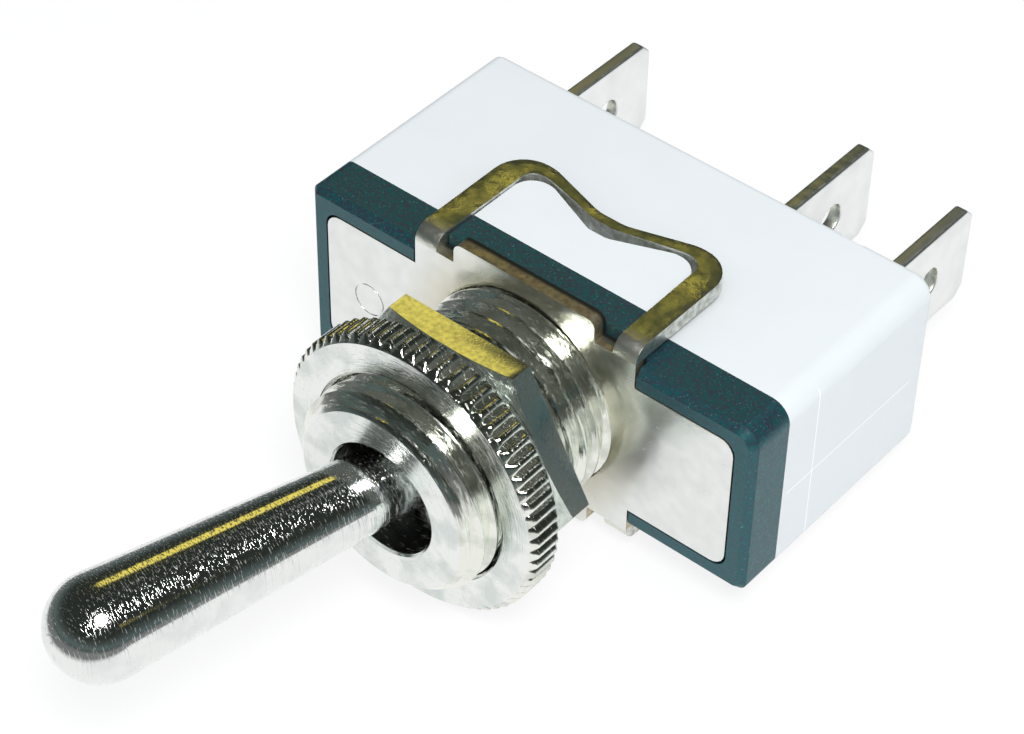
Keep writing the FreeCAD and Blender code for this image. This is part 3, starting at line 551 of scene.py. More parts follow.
def add_clouds(tree, shader, mask, low, high, darker, colour):
    """The base colour in two tints, which the coarse grain spreads."""
    clouds = spread(tree, mask, low, high, 0.0, 1.0)
    wire(tree, mix_colour(tree, clouds, (*darker, 1.0), (*colour, 1.0)),
         shader.inputs["Base Color"])


def add_bump(tree, shader, height, strength, distance):
    """A bump on the shader, on top of any that it has already."""
    bump = node(tree, "ShaderNodeBump")
    for socket, value in (("Strength", strength), ("Distance", distance), ("Height", height)):
        wire(tree, value, bump.inputs[socket])
    if shader.inputs["Normal"].is_linked:
        wire(tree, shader.inputs["Normal"].links[0].from_socket, bump.inputs["Normal"])
    wire(tree, bump.outputs[0], shader.inputs["Normal"])


def add_waviness(material, scale, strength, distance):
    """The slight unevenness of stamped sheet, which breaks up what it reflects."""
    tree, shader = tree_and_shader(material)
    add_bump(tree, shader, add_noise(tree, object_place(tree), scale, 1.0), strength, distance)


def tint_where(tree, shader, mask, colour):
    """Another base colour where the mask is 1."""
    plain = shader.inputs["Base Color"].links[0].from_socket
    wire(tree, mix_colour(tree, mask, plain, (*colour, 1.0)), shader.inputs["Base Color"])


def add_zone(material, distance_of, near, far, colour, roughness=None):
    """Another colour and roughness where y or the radius is small, fading out."""
    tree, shader = tree_and_shader(material)
    parts = split_place(tree, object_place(tree))
    length = parts[1] if distance_of == "y" else axis_distance(tree, parts)
    inside = spread(tree, length, near * MM, far * MM, 1.0, 0.0)
    tint_where(tree, shader, inside, colour)
    if roughness is not None:
        usual = shader.inputs["Roughness"].links[0].from_socket
        wire(tree, mix_value(tree, inside, usual, roughness), shader.inputs["Roughness"])


def add_seams(material, colour):
    """The two fine mould lines on the right end of the case."""
    tree, shader = tree_and_shader(material)
    parts = split_place(tree, object_place(tree))
    seen = calculate(tree, "MAXIMUM", *[
        calculate(tree, "COMPARE", parts[axis], at * MM, SEAM_HALF_WIDTH * MM)
        for axis, at in SEAMS])
    for axis, low, high in SEAM_LIMITS:
        within = calculate(tree, "COMPARE", parts[axis], (low + high) / 2 * MM,
                           (high - low) / 2 * MM)
        seen = calculate(tree, "MULTIPLY", seen, within)
    tint_where(tree, shader, seen, colour)


# Finishes. Grain is given as its coarse and fine scale, and a bump as its strength and depth.
def moulded_plastic(name, colour, darker, roughness, grain, bump):
    material, tree, shader = new_material(name, colour, roughness, 0.0)
    coarse, fine = grain
    grains = use_group(tree, GRAIN, Coarse=coarse, Fine=fine, Share=0.6)
    add_clouds(tree, shader, grains["Mask"], 0.3, 0.7, darker, colour)
    wire(tree, spread(tree, grains["Height"], 0.3, 0.7, roughness - 0.05, roughness + 0.08),
         shader.inputs["Roughness"])
    add_bump(tree, shader, grains["Height"], *bump)
    return material


def plated_metal(name, colour, darker, roughness, grain, bump):
    """Plated sheet or wire with a fine cloudy grain."""
    low, high = roughness
    material, tree, shader = new_material(name, colour, low, 1.0)
    coarse, fine = grain
    grains = use_group(tree, GRAIN, Coarse=coarse, Fine=fine, Share=0.7)
    add_clouds(tree, shader, grains["Mask"], 0.35, 0.65, darker, colour)
    wire(tree, spread(tree, grains["Mask"], 0.3, 0.7, high, low), shader.inputs["Roughness"])
    add_bump(tree, shader, grains["Height"], *bump)
    return material


def turned_metal(name, colour, darker, roughness, lines, bump, scratches, tilt=0.0):
    """Metal turned on a lathe and plated: fine rings, clouds and sparse deeper scratches."""
    low, high = roughness
    material, tree, shader = new_material(name, colour, low, 1.0)
    own_axis = node(tree, "ShaderNodeMapping")
    wire(tree, object_place(tree), own_axis.inputs["Vector"])
    own_axis.inputs["Rotation"].default_value = (0, 0, tilt)
    rings, along, around = lines
    turning = use_group(tree, TURNING, Place=own_axis.outputs[0], Rings=rings, Along=along,
                        Around=around)
    grains = use_group(tree, GRAIN, Coarse=650.0, Fine=5000.0, Share=0.5)
    add_clouds(tree, shader, grains["Mask"], 0.38, 0.56, darker, colour)
    wire(tree, spread(tree, turning["Scratch"], 0.0, 0.8, low, high), shader.inputs["Roughness"])
    add_bump(tree, shader, turning["Height"], *bump)
    add_bump(tree, shader, turning["Scratch"], *scratches)
    return material


def grained_black():
    """Black moulding with a fine grain, teal and violet in turn, and a few bright grains."""
    material, tree, shader = new_material(
        "grained black moulding", (0.008, 0.030, 0.038), 0.42, 0.0,
        Specular_Tint=(0.36, 0.95, 1.0, 1.0), Specular_IOR_Level=1.0)
    speckle = use_group(tree, SPECKLE, Size=6400.0, Sparse=0.68)
    grains = use_group(tree, GRAIN, Coarse=2600.0, Fine=6500.0, Share=0.6)
    tint = mix_colour(tree, speckle["Mask"], (0.002, 0.046, 0.052, 1.0),
                      (0.022, 0.018, 0.036, 1.0))
    pale = mix_colour(tree, speckle["Grains"], tint, (0.10, 0.16, 0.19, 1.0))
    wire(tree, pale, shader.inputs["Base Color"])
    wire(tree, spread(tree, grains["Height"], 0.3, 0.7, 0.36, 0.50), shader.inputs["Roughness"])
    add_bump(tree, shader, grains["Height"], 0.4, 0.00004)
    return material


white_plastic = moulded_plastic(
    "satin white moulding", (0.655, 0.685, 0.705), (0.64, 0.67, 0.69), roughness=0.42,
    grain=(300.0, 5200.0), bump=(0.06, 0.00003))
add_seams(white_plastic, (0.86, 0.88, 0.90))
black_plastic = grained_black()
natural_plastic = moulded_plastic(
    "natural insulating moulding", (0.70, 0.64, 0.50), (0.66, 0.60, 0.46), roughness=0.45,
    grain=(500.0, 6000.0), bump=(0.1, 0.00003))
plated_sheet = plated_metal(
    "satin plated sheet", (0.79, 0.81, 0.79), (0.74, 0.76, 0.74), roughness=(0.18, 0.28),
    grain=(900.0, 9000.0), bump=(0.10, 0.00002))
add_waviness(plated_sheet, 500.0, 0.3, 0.00004)
# Painted reflection and shade: the plate is darker and browner round the bushing, where it mirrors
# the bushing and nuts and lies in their shade
add_zone(plated_sheet, "radius", 6.2, 8.6, (0.66, 0.64, 0.54))
# Painted reflection: the strap's plating is darker and olive, unlike the plate of the same sheet,
# standing in for the dim room and the warm card that it mirrors; towards the bend it turns paler
# and rougher
strap_painted_reflection = plated_metal(
    "strap plating with painted reflection", (0.52, 0.54, 0.42), (0.25, 0.29, 0.21), roughness=(0.22, 0.38),
    grain=(800.0, 6500.0), bump=(0.6, 0.00003))
add_waviness(strap_painted_reflection, 1500.0, 1.0, 0.00005)
add_zone(strap_painted_reflection, "y", 0.75, 1.5, (0.74, 0.74, 0.67), 0.38)
sheared_edge = plated_metal(
    "sheared sheet edge", (0.76, 0.78, 0.74), (0.46, 0.46, 0.40), roughness=(0.34, 0.50),
    grain=(2600.0, 9000.0), bump=(0.4, 0.00003))
edge_painted_shadow = plated_metal(
    "sheared edge with painted shadow at its rear", (0.62, 0.56, 0.42), (0.36, 0.30, 0.20),
    roughness=(0.36, 0.55), grain=(2600.0, 9000.0), bump=(0.4, 0.00003))
# Painted shadow: the plate's cut edges go near black towards their rear, standing in for the shade
# where the plate meets the cover, seen most on the tongues
add_zone(edge_painted_shadow, "y", 0.72, 0.52, (0.07, 0.07, 0.06), 0.6)
tab_edge = plated_metal(
    "sheared tab edge", (0.86, 0.88, 0.78), (0.40, 0.42, 0.36), roughness=(0.30, 0.46),
    grain=(1600.0, 6000.0), bump=(0.6, 0.00003))
plated_hexagon = plated_metal(
    "plated hexagon", (0.74, 0.77, 0.74), (0.62, 0.65, 0.60), roughness=(0.12, 0.22),
    grain=(4200.0, 9000.0), bump=(0.30, 0.00002))
plated_wire = plated_metal(
    "plated steel wire", (0.62, 0.60, 0.56), (0.55, 0.53, 0.50), roughness=(0.2, 0.3),
    grain=(1500.0, 9000.0), bump=(0.1, 0.00002))
tinned_brass = plated_metal(
    "tinned tab", (0.86, 0.88, 0.87), (0.83, 0.85, 0.84), roughness=(0.30, 0.40),
    grain=(800.0, 8000.0), bump=(0.08, 0.00002))
bare_brass = plated_metal(
    "bare stamped brass", (0.74, 0.52, 0.22), (0.66, 0.44, 0.17), roughness=(0.25, 0.4),
    grain=(900.0, 8000.0), bump=(0.12, 0.00002))
contact_silver = plated_metal(
    "silver contact", (0.86, 0.85, 0.82), (0.80, 0.78, 0.74), roughness=(0.2, 0.3),
    grain=(1200.0, 9000.0), bump=(0.1, 0.00002))
# The lines of turned metal are given by their scale outwards, along the axis and around it
polished_lever = turned_metal(
    "polished lever plating", (0.79, 0.81, 0.79), (0.72, 0.74, 0.73), roughness=(0.07, 0.44),
    lines=(0.0, 13500.0, 4200.0), bump=(0.12, 0.00002), scratches=(0.42, 0.00002),
    tilt=LEVER_TILT)
turned_nickel = turned_metal(
    "turned nickel plating", (0.81, 0.83, 0.80), (0.64, 0.68, 0.66), roughness=(0.16, 0.36),
    lines=(15000.0, 9000.0, 1600.0), bump=(0.40, 0.00002), scratches=(0.22, 0.00002))
cut_nickel = turned_metal(
    "cut and plated nickel", (0.80, 0.81, 0.75), (0.60, 0.62, 0.56), roughness=(0.10, 0.36),
    lines=(1500.0, 9000.0, 1800.0), bump=(0.9, 0.00002), scratches=(0.4, 0.00002))

FINISHES = {
    "case": white_plastic, "cover": black_plastic, "plunger": natural_plastic,
    "mounting_bracket": plated_sheet, "hex_nut": plated_hexagon, "bushing": turned_nickel,
    "knurled_nut": turned_nickel, "bat_lever": polished_lever, "pivot_pin": plated_wire,
    "plunger_spring": plated_wire, "terminal_left": tinned_brass, "terminal_common": tinned_brass,
    "terminal_right": tinned_brass, "fixed_contact_left": contact_silver,
    "fixed_contact_right": contact_silver, "moving_contact_left": contact_silver,
    "moving_contact_right": contact_silver, "rocker": bare_brass, "rocker_cradle": bare_brass,
    "cradle_rivet": bare_brass,
}
for name, finish in FINISHES.items():
    slots = nodes[name].data.materials
    slots.clear()
    slots.append(finish)


# Bushing: a sleeve with a cut thread, a flange behind the plate and grooves for the pin
def make_bushing():
    front, rear, crest = BUSHING_FRONT, SHEET, THREAD_RADIUS
    mouth = MOUTH_RADIUS + MOUTH_CHAMFER
    edge, edge_depth = 0.05, 0.03
    bushing = turn_profile("bushing_sleeve", [
        (mouth, front), (FRONT_RADIUS - edge, front), (FRONT_RADIUS, front + edge_depth),
        (crest, front + THREAD_LEAD), (crest, rear), (REAR_BORE, rear),
        (REAR_BORE, REAR_BORE_START), (MOUTH_RADIUS, REAR_BORE_START - BORE_CONE),
        (MOUTH_RADIUS, front + MOUTH_CHAMFER), (mouth, front)], steps=120)
    run_in, overcut, top_share, root_share = 1.5, 0.4, 0.44, 0.08
    start = front - run_in
    wide, narrow = THREAD_PITCH * top_share, THREAD_PITCH * root_share
    over = crest + overcut
    coil = wind_coil("thread_groove", [
        (THREAD_ROOT, start - narrow), (crest, start - wide), (over, start - wide),
        (over, start + wide), (crest, start + wide), (THREAD_ROOT, start + narrow)],
        math.ceil((THREAD_END - start) / THREAD_PITCH), THREAD_PITCH)
    combine(bushing, coil, "DIFFERENCE")
    flange = add_block("flange", (-FLANGE_HALF_LENGTH, rear, -PLATE_HALF_HEIGHT),
                       (FLANGE_HALF_LENGTH, rear + FLANGE, PLATE_HALF_HEIGHT))
    combine(flange, add_rod("bore", REAR_BORE, (0, 0, 0), (0, PAST_REAR, 0), 120), "DIFFERENCE")
    combine(bushing, flange, "UNION")
    half = PIN_GROOVE_LENGTH / 2
    groove = add_block("groove", (-PIN_GROOVE, PIVOT, -half), (PIN_GROOVE, PAST_REAR, half))
    combine(bushing, groove, "DIFFERENCE")
    add_finishes(bushing, (turned_nickel, cut_nickel), lambda face: (
        face.center.y < 0 and off_axis(face.center) > THREAD_ROOT * MM * 0.99))
    return dress(bushing, "threaded_bushing", turned_nickel, 28)


stand_for(make_bushing(), "bushing", "housing")

# Knurling: the number of ridges, and the radii that one ridge runs through
RIDGES = 66
RIDGE_RADII = (7.92, 8.12, 8.26, NUT_RADIUS, 8.26, 8.12)


# Knurled nut: rounded ridges round the rim, which run out on a bevel at each face
def make_knurled_nut():
    around = RIDGES * len(RIDGE_RADII)
    same_radius, ridged_from = 0.003, 7.9
    front, rear = nut_low.y, nut_high.y
    face, back = NUT_FACE_RADIUS, NUT_REAR_RADIUS
    slope = (NUT_RADIUS - back) / NUT_REAR_BEVEL
    rising = sorted(set(RIDGE_RADII))
    levels = [(front, face)]
    levels += [(front + radius - face, radius) for radius in rising]
    levels += [(rear - (radius - back) / slope, radius) for radius in reversed(rising)]
    levels += [(rear, back), (rear, NUT_BORE + BORE_CHAMFER), (rear - BORE_CHAMFER, NUT_BORE),
               (front + BORE_CHAMFER, NUT_BORE), (front, NUT_BORE + BORE_CHAMFER),
               (front, face)]
    deselect_all()
    bpy.ops.mesh.primitive_circle_add(vertices=around, radius=face * MM)
    nut = bpy.context.object
    nut.data.transform(Matrix.Translation((0, front * MM, 0))
                       @ Matrix.Rotation(math.pi / 2, 4, "X"))
    start_edit(nut)
    for (before, inside), (along, radius) in zip(levels, levels[1:]):
        bpy.ops.mesh.extrude_edges_move(
            TRANSFORM_OT_translate={"value": (0, (along - before) * MM, 0)})
        scale = radius / inside
        bpy.ops.transform.resize(value=(scale, 1, scale), center_override=(0, along * MM, 0))
    end_edit()
    merge_doubles(nut, 0.0005)
    for low in rising[:3]:
        classes = [index for index, radius in enumerate(RIDGE_RADII) if radius == low]
        for high in [radius for radius in rising if radius > low]:
            edit_vertices(nut, lambda place: (
                abs(off_axis(place) - high) < same_radius
                and round(math.atan2(place.z, place.x) / (2 * math.pi) * around)
                % len(RIDGE_RADII) in classes))
            scale = low / high
            bpy.ops.transform.resize(value=(scale, 1, scale), center_override=(0, 0, 0))
            end_edit()
    merge_doubles(nut)
    add_finishes(nut, (turned_nickel, cut_nickel), lambda face: (
        off_axis(face.center) > ridged_from * MM))
    return dress(nut, "ridged_nut", turned_nickel, 40)


stand_for(make_knurled_nut(), "knurled_nut", "knurled_nut")


# Hexagon nut: six flats, chamfered in front, with slightly worn edges
def make_hex_nut():
    front, rear = hex_low.y, hex_high.y
    corner = HEX_FLATS / 2 / math.cos(math.radians(30))
    flat_left, chamfer_depth, spare = 0.05, 0.5, 0.01
    outside, past = corner + 0.6, rear + spare
    deselect_all()
    bpy.ops.mesh.primitive_cylinder_add(vertices=6, radius=corner * MM, depth=(rear - front) * MM)
    nut = bpy.context.object
    nut.data.transform(Matrix.Translation((0, (front + rear) / 2 * MM, 0))
                       @ Matrix.Rotation(math.pi / 2, 4, "X")
                       @ Matrix.Rotation(math.radians(30), 4, "Z"))
    envelope = turn_profile("envelope", [
        (NUT_BORE + BORE_CHAMFER, front), (HEX_FLATS / 2 + flat_left, front),
        (outside, front + chamfer_depth), (outside, past),
        (NUT_BORE + BORE_CHAMFER + spare, past), (NUT_BORE, rear - BORE_CHAMFER),
        (NUT_BORE, front + BORE_CHAMFER), (NUT_BORE + BORE_CHAMFER, front)])
    combine(nut, envelope, "INTERSECT")
    soften(nut, HEX_EDGE, 2, 25)
    return dress(nut, "plain_hexagon_nut", plated_hexagon, 15)


stand_for(make_hex_nut(), "hex_nut", "hex_nut")


# Lever: turned with its ball, neck, taper, round tip and bored tail, then tilted
def make_lever():
    neck, ball, tip, reach = 1.92, 2.6, 2.82, 19.5
    tail, tail_chamfer, bore, bore_end, bore_point = 1.8, 0.3, 1.2, 5.0, 4.4
    tip_steps, taper_steps, ball_steps = 24, 12, 16
    neck_place = math.sqrt(ball * ball - neck * neck)
    run = reach - neck_place
    square = neck * neck + run * run
    side = math.sqrt(square - tip * tip)
    touch = Vector((tip * (neck * tip + run * side) / square,
                    tip * (run * tip - neck * side) / square - reach))
    start_angle = math.atan2(touch.y + reach, touch.x)
    profile = []
    for part in range(tip_steps + 1):
        angle = -math.pi / 2 + (start_angle + math.pi / 2) * part / tip_steps
        profile.append((max(tip * math.cos(angle), 0), tip * math.sin(angle) - reach))
    for part in range(1, taper_steps):
        profile.append(tuple(touch.lerp(Vector((neck, -neck_place)), part / taper_steps)))
    from_angle = math.atan2(-neck_place, neck)
    to_angle = math.acos(tail / ball)
    for part in range(ball_steps + 1):
        angle = from_angle + (to_angle - from_angle) * part / ball_steps
        profile.append((ball * math.cos(angle), ball * math.sin(angle)))
    end = TAIL_LENGTH
    profile += [(tail, end - tail_chamfer), (tail - tail_chamfer, end), (bore, end),
                (bore, bore_end), (0, bore_point)]
    lever = turn_profile("lever", profile, steps=128)
    half = 4
    pin_hole = turn_profile("pin_hole", [(0, -half), (PIN_GROOVE, -half), (PIN_GROOVE, half),
                                         (0, half)], steps=48)
    pin_hole.data.transform(Matrix.Rotation(math.pi / 2, 4, "X"))
    combine(lever, pin_hole, "DIFFERENCE")
    lever.data.transform(ON_LEVER)
    return dress(lever, "bat_handle", polished_lever, 30)


# Where the lever's own axis lies, from its pivot
ON_LEVER = Matrix.Translation((0, PIVOT * MM, 0)) @ Matrix.Rotation(-LEVER_TILT, 4, "Z")
stand_for(make_lever(), "bat_lever", "lever")


# Plunger spring: round wire on a mesh of its own; the real spring gets shorter as the plunger is
# pushed into the tail
def make_spring():
    wire_radius, sides = SPRING_WIRE, 12
    angles = [2 * math.pi * part / sides for part in range(sides)]
    section = [(SPRING_COIL + wire_radius * math.cos(angle),
                SPRING_START + wire_radius + wire_radius * math.sin(angle)) for angle in angles]
    pitch = (SPRING_LENGTH - 2 * wire_radius) / SPRING_TURNS
    spring = wind_coil("plunger_coil", section, SPRING_TURNS, pitch, steps=36)
    spring.data.transform(ON_LEVER)
    return dress(spring, "round_wire_spring", plated_wire, 50)


spring = make_spring()
stand_for(spring, "plunger_spring", "lever")
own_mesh(spring)


# Bracket: the plate and both wavy loops as one sheet, given its thickness and rounded edges
def loop_half_path(outside):
    """Half of a loop in plan, from the plate to the middle: its outer or its inner side."""
    start = LOOP_HALF - BUMP_LENGTH
    dip = LOOP_REACH - DIP
    wave = WAVE_RADIUS
    if outside:
        return [(LOOP_HALF, SHEET, 0), (LOOP_HALF, LOOP_REACH, LOOP_CORNER),
                (start, LOOP_REACH, wave), (DIP_HALF_WIDTH, dip, wave), (0, dip, 0)]
    shift = LOOP_BAR / 3
    reach = LOOP_REACH - LOOP_BAR
    return [(LOOP_INSIDE, SHEET, 0), (LOOP_INSIDE - LOOP_DRAW_IN, reach, LOOP_INNER_CORNER),
            (start - shift, reach, wave), (DIP_HALF_WIDTH - shift, dip - DIP_BAR, wave),
            (0, dip - DIP_BAR, 0)]


def make_loop(middle):
    """The upper loop as a face: up from the plate, round the bend and along the wave."""
    level = STRAP_TOP - middle
    bend = level - BEND_START
    bend_steps = 10
    chains = []
    for outside in (True, False):
        across = LOOP_HALF if outside else LOOP_INSIDE
        angles = [math.pi / 2 * part / bend_steps for part in range(bend_steps)]
        right = [(across, middle + bend * (1 - math.cos(angle)),
                  BEND_START + bend * math.sin(angle)) for angle in angles]
        right += [(point.x, point.y, level) for point in round_path(loop_half_path(outside))]
        whole = right + [(-x, y, z) for x, y, z in reversed(right[:-1])]
        chains.append(draw_chain("loop_side", whole))
    loop = join(*chains)
    start_edit(loop)
    bpy.ops.mesh.bridge_edge_loops()
    end_edit()
    return loop


def plate_outline():
    """The plate with its tongues and the starts of its loops, as points (x, z)."""
    corner, corner_steps = PLATE_CORNER, 5
    quarter = [(PLATE_HALF_LENGTH, 0)]
    for part in range(corner_steps + 1):
        angle = math.pi / 2 * part / corner_steps
        quarter.append((PLATE_HALF_LENGTH - corner * (1 - math.cos(angle)),
                        PLATE_HALF_HEIGHT - corner * (1 - math.sin(angle))))
    quarter += [(LOOP_HALF, PLATE_HALF_HEIGHT), (LOOP_HALF, BEND_START),
                (LOOP_INSIDE, BEND_START)]
    quarter += [(point.x, point.y) for point in round_path([
        (TONGUE_HALF_WIDTH, BEND_START, 0), (TONGUE_HALF_WIDTH, TONGUE_REACH, TONGUE_CORNER),
        (0, TONGUE_REACH, 0)])[:-1]]
    upper = quarter + [(-x, z) for x, z in reversed(quarter)]
    return upper + [(x, -z) for x, z in reversed(upper[1:-1])]


def make_bracket():
    middle = SHEET / 2
    # The plate's cut edges take the finish with its painted shadow, the loops the strap finish
    # with its painted reflection
    finishes = (plated_sheet, edge_painted_shadow, strap_painted_reflection, sheared_edge)
    loop = make_loop(middle)
    add_finishes(loop, finishes)
    for face in loop.data.polygons:
        face.material_index = finishes.index(strap_painted_reflection)
    lower = loop.copy()
    lower.data = loop.data.copy()
    bpy.context.scene.collection.objects.link(lower)
    lower.data.transform(Matrix.Diagonal((1, 1, -1, 1)))
    plate = fill_outline("plate", [(x, middle, z) for x, z in plate_outline()])
    add_finishes(plate, finishes)
    bracket = join(plate, loop, lower)
    merge_doubles(bracket)
    thicken = bracket.modifiers.new("thickness", "SOLIDIFY")
    thicken.thickness = SHEET * MM
    thicken.offset = 0
    thicken.use_even_offset = True
    thicken.material_offset_rim = 1
    apply_modifier(bracket, thicken)
    merge_doubles(bracket)
    hole = turn_profile("hole", [(0, -2), (THREAD_RADIUS, -2), (THREAD_RADIUS, PAST_REAR),
                                 (0, PAST_REAR)], steps=120)
    combine(bracket, hole, "DIFFERENCE")
    soften(bracket, BRACKET_EDGE, 4)
    inside, outside = INDEX_RADIUS - INDEX_HALF_LINE, INDEX_RADIUS + INDEX_HALF_LINE
    ring = turn_profile("index_ring", [
        (inside, -1), (outside, -1), (outside, INDEX_DEPTH), (inside, INDEX_DEPTH),
        (inside, -1)], steps=64)
    x, z = INDEX_PLACE
    ring.data.transform(Matrix.Translation((x * MM, 0, z * MM)))
    combine(bracket, ring, "DIFFERENCE")
    return dress(bracket, "stamped_bracket", plated_sheet, 40)


stand_for(make_bracket(), "mounting_bracket", "housing")


# Tabs: a blank bent into a blade and a foot, with a hole, chamfered corners and sheared edges
def make_tab(node_name, rivet_place):
    low, high = box_of(node_name)
    leftward = abs(low.x) > abs(high.x)
    outer, foot_tip = (low.x, high.x) if leftward else (high.x, low.x)
    inner = outer + TAB_SHEET if leftward else outer - TAB_SHEET
    foot_rear = low.y + TAB_SHEET
    end = high.y
    outline = round_path([
        (foot_tip, low.y, 0), (outer, low.y, TAB_BEND), (outer, end, 0), (inner, end, 0),
        (inner, foot_rear, 0), (foot_tip, foot_rear, 0)], 6)
    tab = raise_outline(node_name + "_blank", outline, -TAB_HALF_WIDTH, TAB_HALF_WIDTH)
    middle = (outer + inner) / 2
    for side in (1, -1):
        slice_off(tab, (middle, end - TAB_CHAMFER, side * TAB_HALF_WIDTH), (0, 1, side))
        slice_off(tab, (middle + side * TAB_SHEET / 2, end - TAB_END_BEVEL, 0), (side, 1, 0))
    hole, before, past = end - TAB_HOLE_PLACE, 1, 2
    combine(tab, add_rod("hole", TAB_HOLE, (middle - past, hole, 0), (middle + past, hole, 0)),
            "DIFFERENCE")
    combine(tab, add_rod("rivet_hole", RIVET_SHANK, (rivet_place, low.y - before, 0),
                         (rivet_place, low.y + past, 0), 24), "DIFFERENCE")
    soften(tab, TAB_EDGE, 3)
    add_finishes(tab, (tinned_brass, tab_edge), lambda face: (
        abs(face.normal.x) < 0.5 and face.center.y > CASE_REAR * MM))
    return dress(tab, node_name.replace("terminal", "tab"), tinned_brass, 30)


for tab_name, rivet_place in RIVET_PLACES.items():
    stand_for(make_tab(tab_name, rivet_place), tab_name, "housing")


# Surroundings: the white sheet on which the switch lies, and a dim room. The colours given are
# what the floor gives back as light, and where the sheet ends in the mirror of the metal.
FLOOR_COLOUR = (0.86, 0.87, 0.87)
FLOOR_WHITE_SHARE = 0.85
SHEET_MIDDLE = (0, 0, -12)
SHEET_EDGE = 46.0
SHEET_FADE = 1.3
PAST_SHEET = (0.06, 0.066, 0.062, 1)
# The nut's rim that the floor touches, behind the nut's front, and the gap under it
RIM_PLACE = 0.4
FLOOR_GAP = 0.02
# The room from the horizon up, as places on a ramp from straight down, 0, to straight up, 1
ROOM = ((0.49, (0.09, 0.11, 0.105, 1)), (0.53, (0.105, 0.150, 0.148, 1)),
        (0.60, (0.07, 0.085, 0.080, 1)), (0.70, (0.026, 0.032, 0.027, 1)),
        (1.0, (0.024, 0.030, 0.026, 1)))
# What lights the plain surfaces, and what the metal shows of itself at a later reflection
PLAIN_LIGHT = (0.61, 0.63, 0.64, 1)
LATER_REFLECTION = (0.14, 0.15, 0.14, 1)
# Cards that the metal mirrors: direction, angles of its full and its fading part, and colour
CARDS = (((-0.475, 0.555, 0.683), 6.2, 8.6, (1.0, 0.83, 0.17)),
         ((0.84, 0.14, 0.52), 2.5, 4.0, (0.34, 0.29, 0.08)),
         ((0.03, 0.62, 0.785), 6.0, 9.5, (0.95, 0.96, 0.94)))
LAMP_PLACE = (0.02, 0.06, 0.10)
LAMP_SIZE = 0.10
LAMP_POWER = 0.62


def first_reflection(tree, rays):
    """1 for what is seen by one reflection, and 0 for what is seen by a later one."""
    once = calculate(tree, "LESS_THAN", rays["Glossy Depth"], 1.5)
    return calculate(tree, "MULTIPLY", once, rays["Is Glossy Ray"])


# Floor: a pale sheet on which the switch lies, touching the knurled nut and the lower loop
def make_floor():
    rise = math.atan2(NUT_RADIUS + bracket_low.z, bracket_high.y - nut_low.y)
    under_nut = Vector((0, nut_low.y + RIM_PLACE, nut_low.z - FLOOR_GAP)) * MM
    deselect_all()
    bpy.ops.mesh.primitive_plane_add(size=4.0)
    floor = bpy.context.object
    floor.name = "floor"
    floor.data.transform(Matrix.Translation(under_nut) @ Matrix.Rotation(rise, 4, "X"))
    material, tree, shader = new_material("pale table", FLOOR_COLOUR, 0.9, 0.0)
    rays = node(tree, "ShaderNodeLightPath").outputs
    seen = calculate(tree, "ADD", rays["Is Camera Ray"], first_reflection(tree, rays), clamp=True)
    also = calculate(tree, "ADD", seen, rays["Is Transmission Ray"], clamp=True)
    share = calculate(tree, "MULTIPLY", also, FLOOR_WHITE_SHARE)
    away = node(tree, "ShaderNodeVectorMath", operation="DISTANCE")
    wire(tree, object_place(tree), away.inputs[0])
    away.inputs[1].default_value = Vector(SHEET_MIDDLE) * MM
    near = spread(tree, away.outputs["Value"], SHEET_EDGE * MM, SHEET_EDGE * SHEET_FADE * MM,
                  1.0, 0.0)
    in_sight = calculate(tree, "MAXIMUM", near, rays["Is Camera Ray"])
    white = node(tree, "ShaderNodeEmission")
    white.inputs["Strength"].default_value = 1.0
    wire(tree, mix_colour(tree, in_sight, PAST_SHEET, (1, 1, 1, 1)), white.inputs["Color"])
    mixed = node(tree, "ShaderNodeMixShader")
    for socket, source in zip(mixed.inputs, (share, shader.outputs[0], white.outputs[0])):
        wire(tree, source, socket)
    wire(tree, mixed.outputs[0], tree.nodes["Material Output"].inputs["Surface"])
    floor.data.materials.append(material)
    return floor


make_floor()


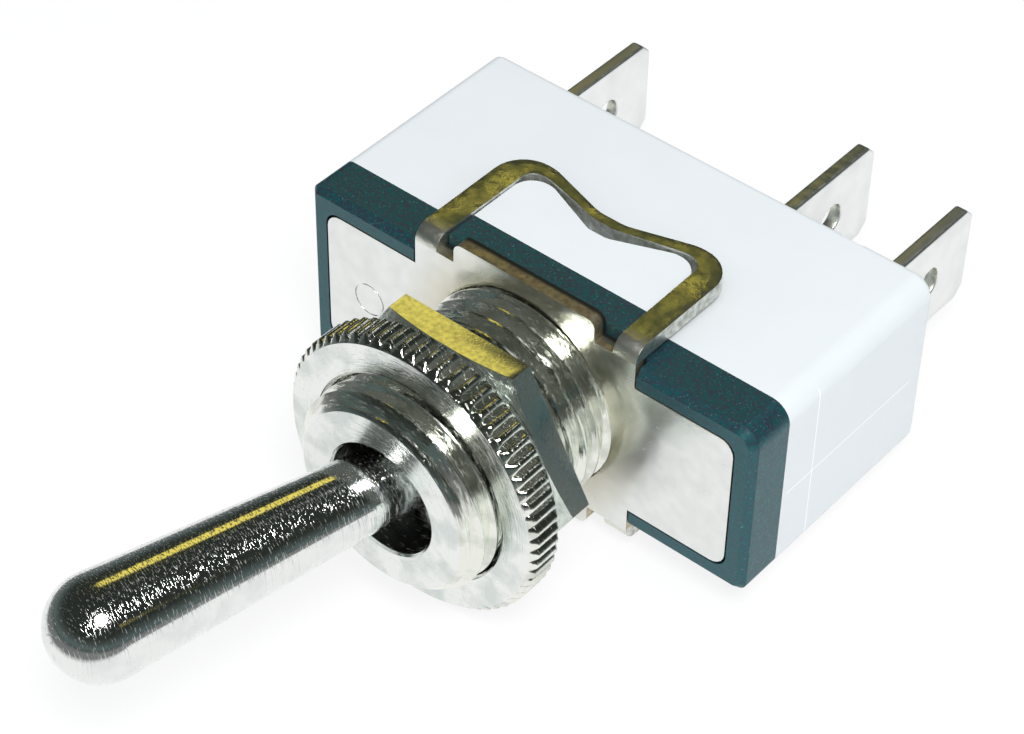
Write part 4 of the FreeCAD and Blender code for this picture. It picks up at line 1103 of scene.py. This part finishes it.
# Studio: a dim room over a white table, with a soft lamp beside the camera
def make_world():
    world = bpy.data.worlds.new("studio")
    bpy.context.scene.world = world
    world.use_nodes = True
    tree = world.node_tree
    background = tree.nodes["Background"]
    facing = node(tree, "ShaderNodeTexCoord").outputs["Generated"]
    ramp = node(tree, "ShaderNodeValToRGB")
    up = split_place(tree, facing)[2]
    wire(tree, spread(tree, up, -1.0, 1.0, 0.0, 1.0), ramp.inputs[0])
    stops = ramp.color_ramp.elements
    for index, (position, colour) in enumerate(ROOM):
        stop = stops[index] if index < 2 else stops.new(position)
        stop.position, stop.color = position, colour
    studio = ramp.outputs[0]
    for direction, inner, outer, colour in CARDS:
        card = node(tree, "ShaderNodeVectorMath", operation="DOT_PRODUCT")
        wire(tree, facing, card.inputs[0])
        card.inputs[1].default_value = Vector(direction).normalized()
        lit_part = spread(tree, card.outputs["Value"], math.cos(math.radians(outer)),
                          math.cos(math.radians(inner)), 0.0, 1.0)
        studio = mix_colour(tree, lit_part, studio, (*colour, 1))
    rays = node(tree, "ShaderNodeLightPath").outputs
    later = mix_colour(tree, rays["Is Glossy Ray"], PLAIN_LIGHT, LATER_REFLECTION)
    lit = mix_colour(tree, first_reflection(tree, rays), later, studio)
    seen = mix_colour(tree, rays["Is Camera Ray"], lit, (1, 1, 1, 1))
    wire(tree, seen, background.inputs["Color"])
    background.inputs["Strength"].default_value = 1.0


def add_lamp(name, place, target, size, power):
    light = bpy.data.lights.new(name, "AREA")
    light.shape = "DISK"
    light.size = size
    light.energy = power
    lamp = bpy.data.objects.new(name, light)
    bpy.context.scene.collection.objects.link(lamp)
    lamp.location = place
    lamp.rotation_euler = (Vector(target) - Vector(place)).to_track_quat("-Z", "Y").to_euler()
    return lamp


def add_camera():
    camera = bpy.data.objects.new("camera", bpy.data.cameras.new("camera"))
    bpy.context.scene.collection.objects.link(camera)
    turn = (Matrix.Rotation(VIEW_AZIMUTH, 4, "Z")
            @ Matrix.Rotation(math.pi / 2 - VIEW_ELEVATION, 4, "X")
            @ Matrix.Rotation(VIEW_ROLL, 4, "Z"))
    camera.matrix_world = turn @ Matrix.Translation((VIEW_ASIDE, VIEW_UP, VIEW_DISTANCE))
    camera.data.sensor_width = 36.0
    camera.data.lens = LENS
    camera.data.clip_start = 0.01
    camera.data.clip_end = 10.0
    bpy.context.scene.camera = camera
    return camera


make_world()
camera = add_camera()
add_lamp("soft lamp by the camera", camera.matrix_world @ Vector(LAMP_PLACE), (0, 0, 0),
         LAMP_SIZE, LAMP_POWER)

scene = bpy.context.scene
scene.view_settings.view_transform = "Standard"
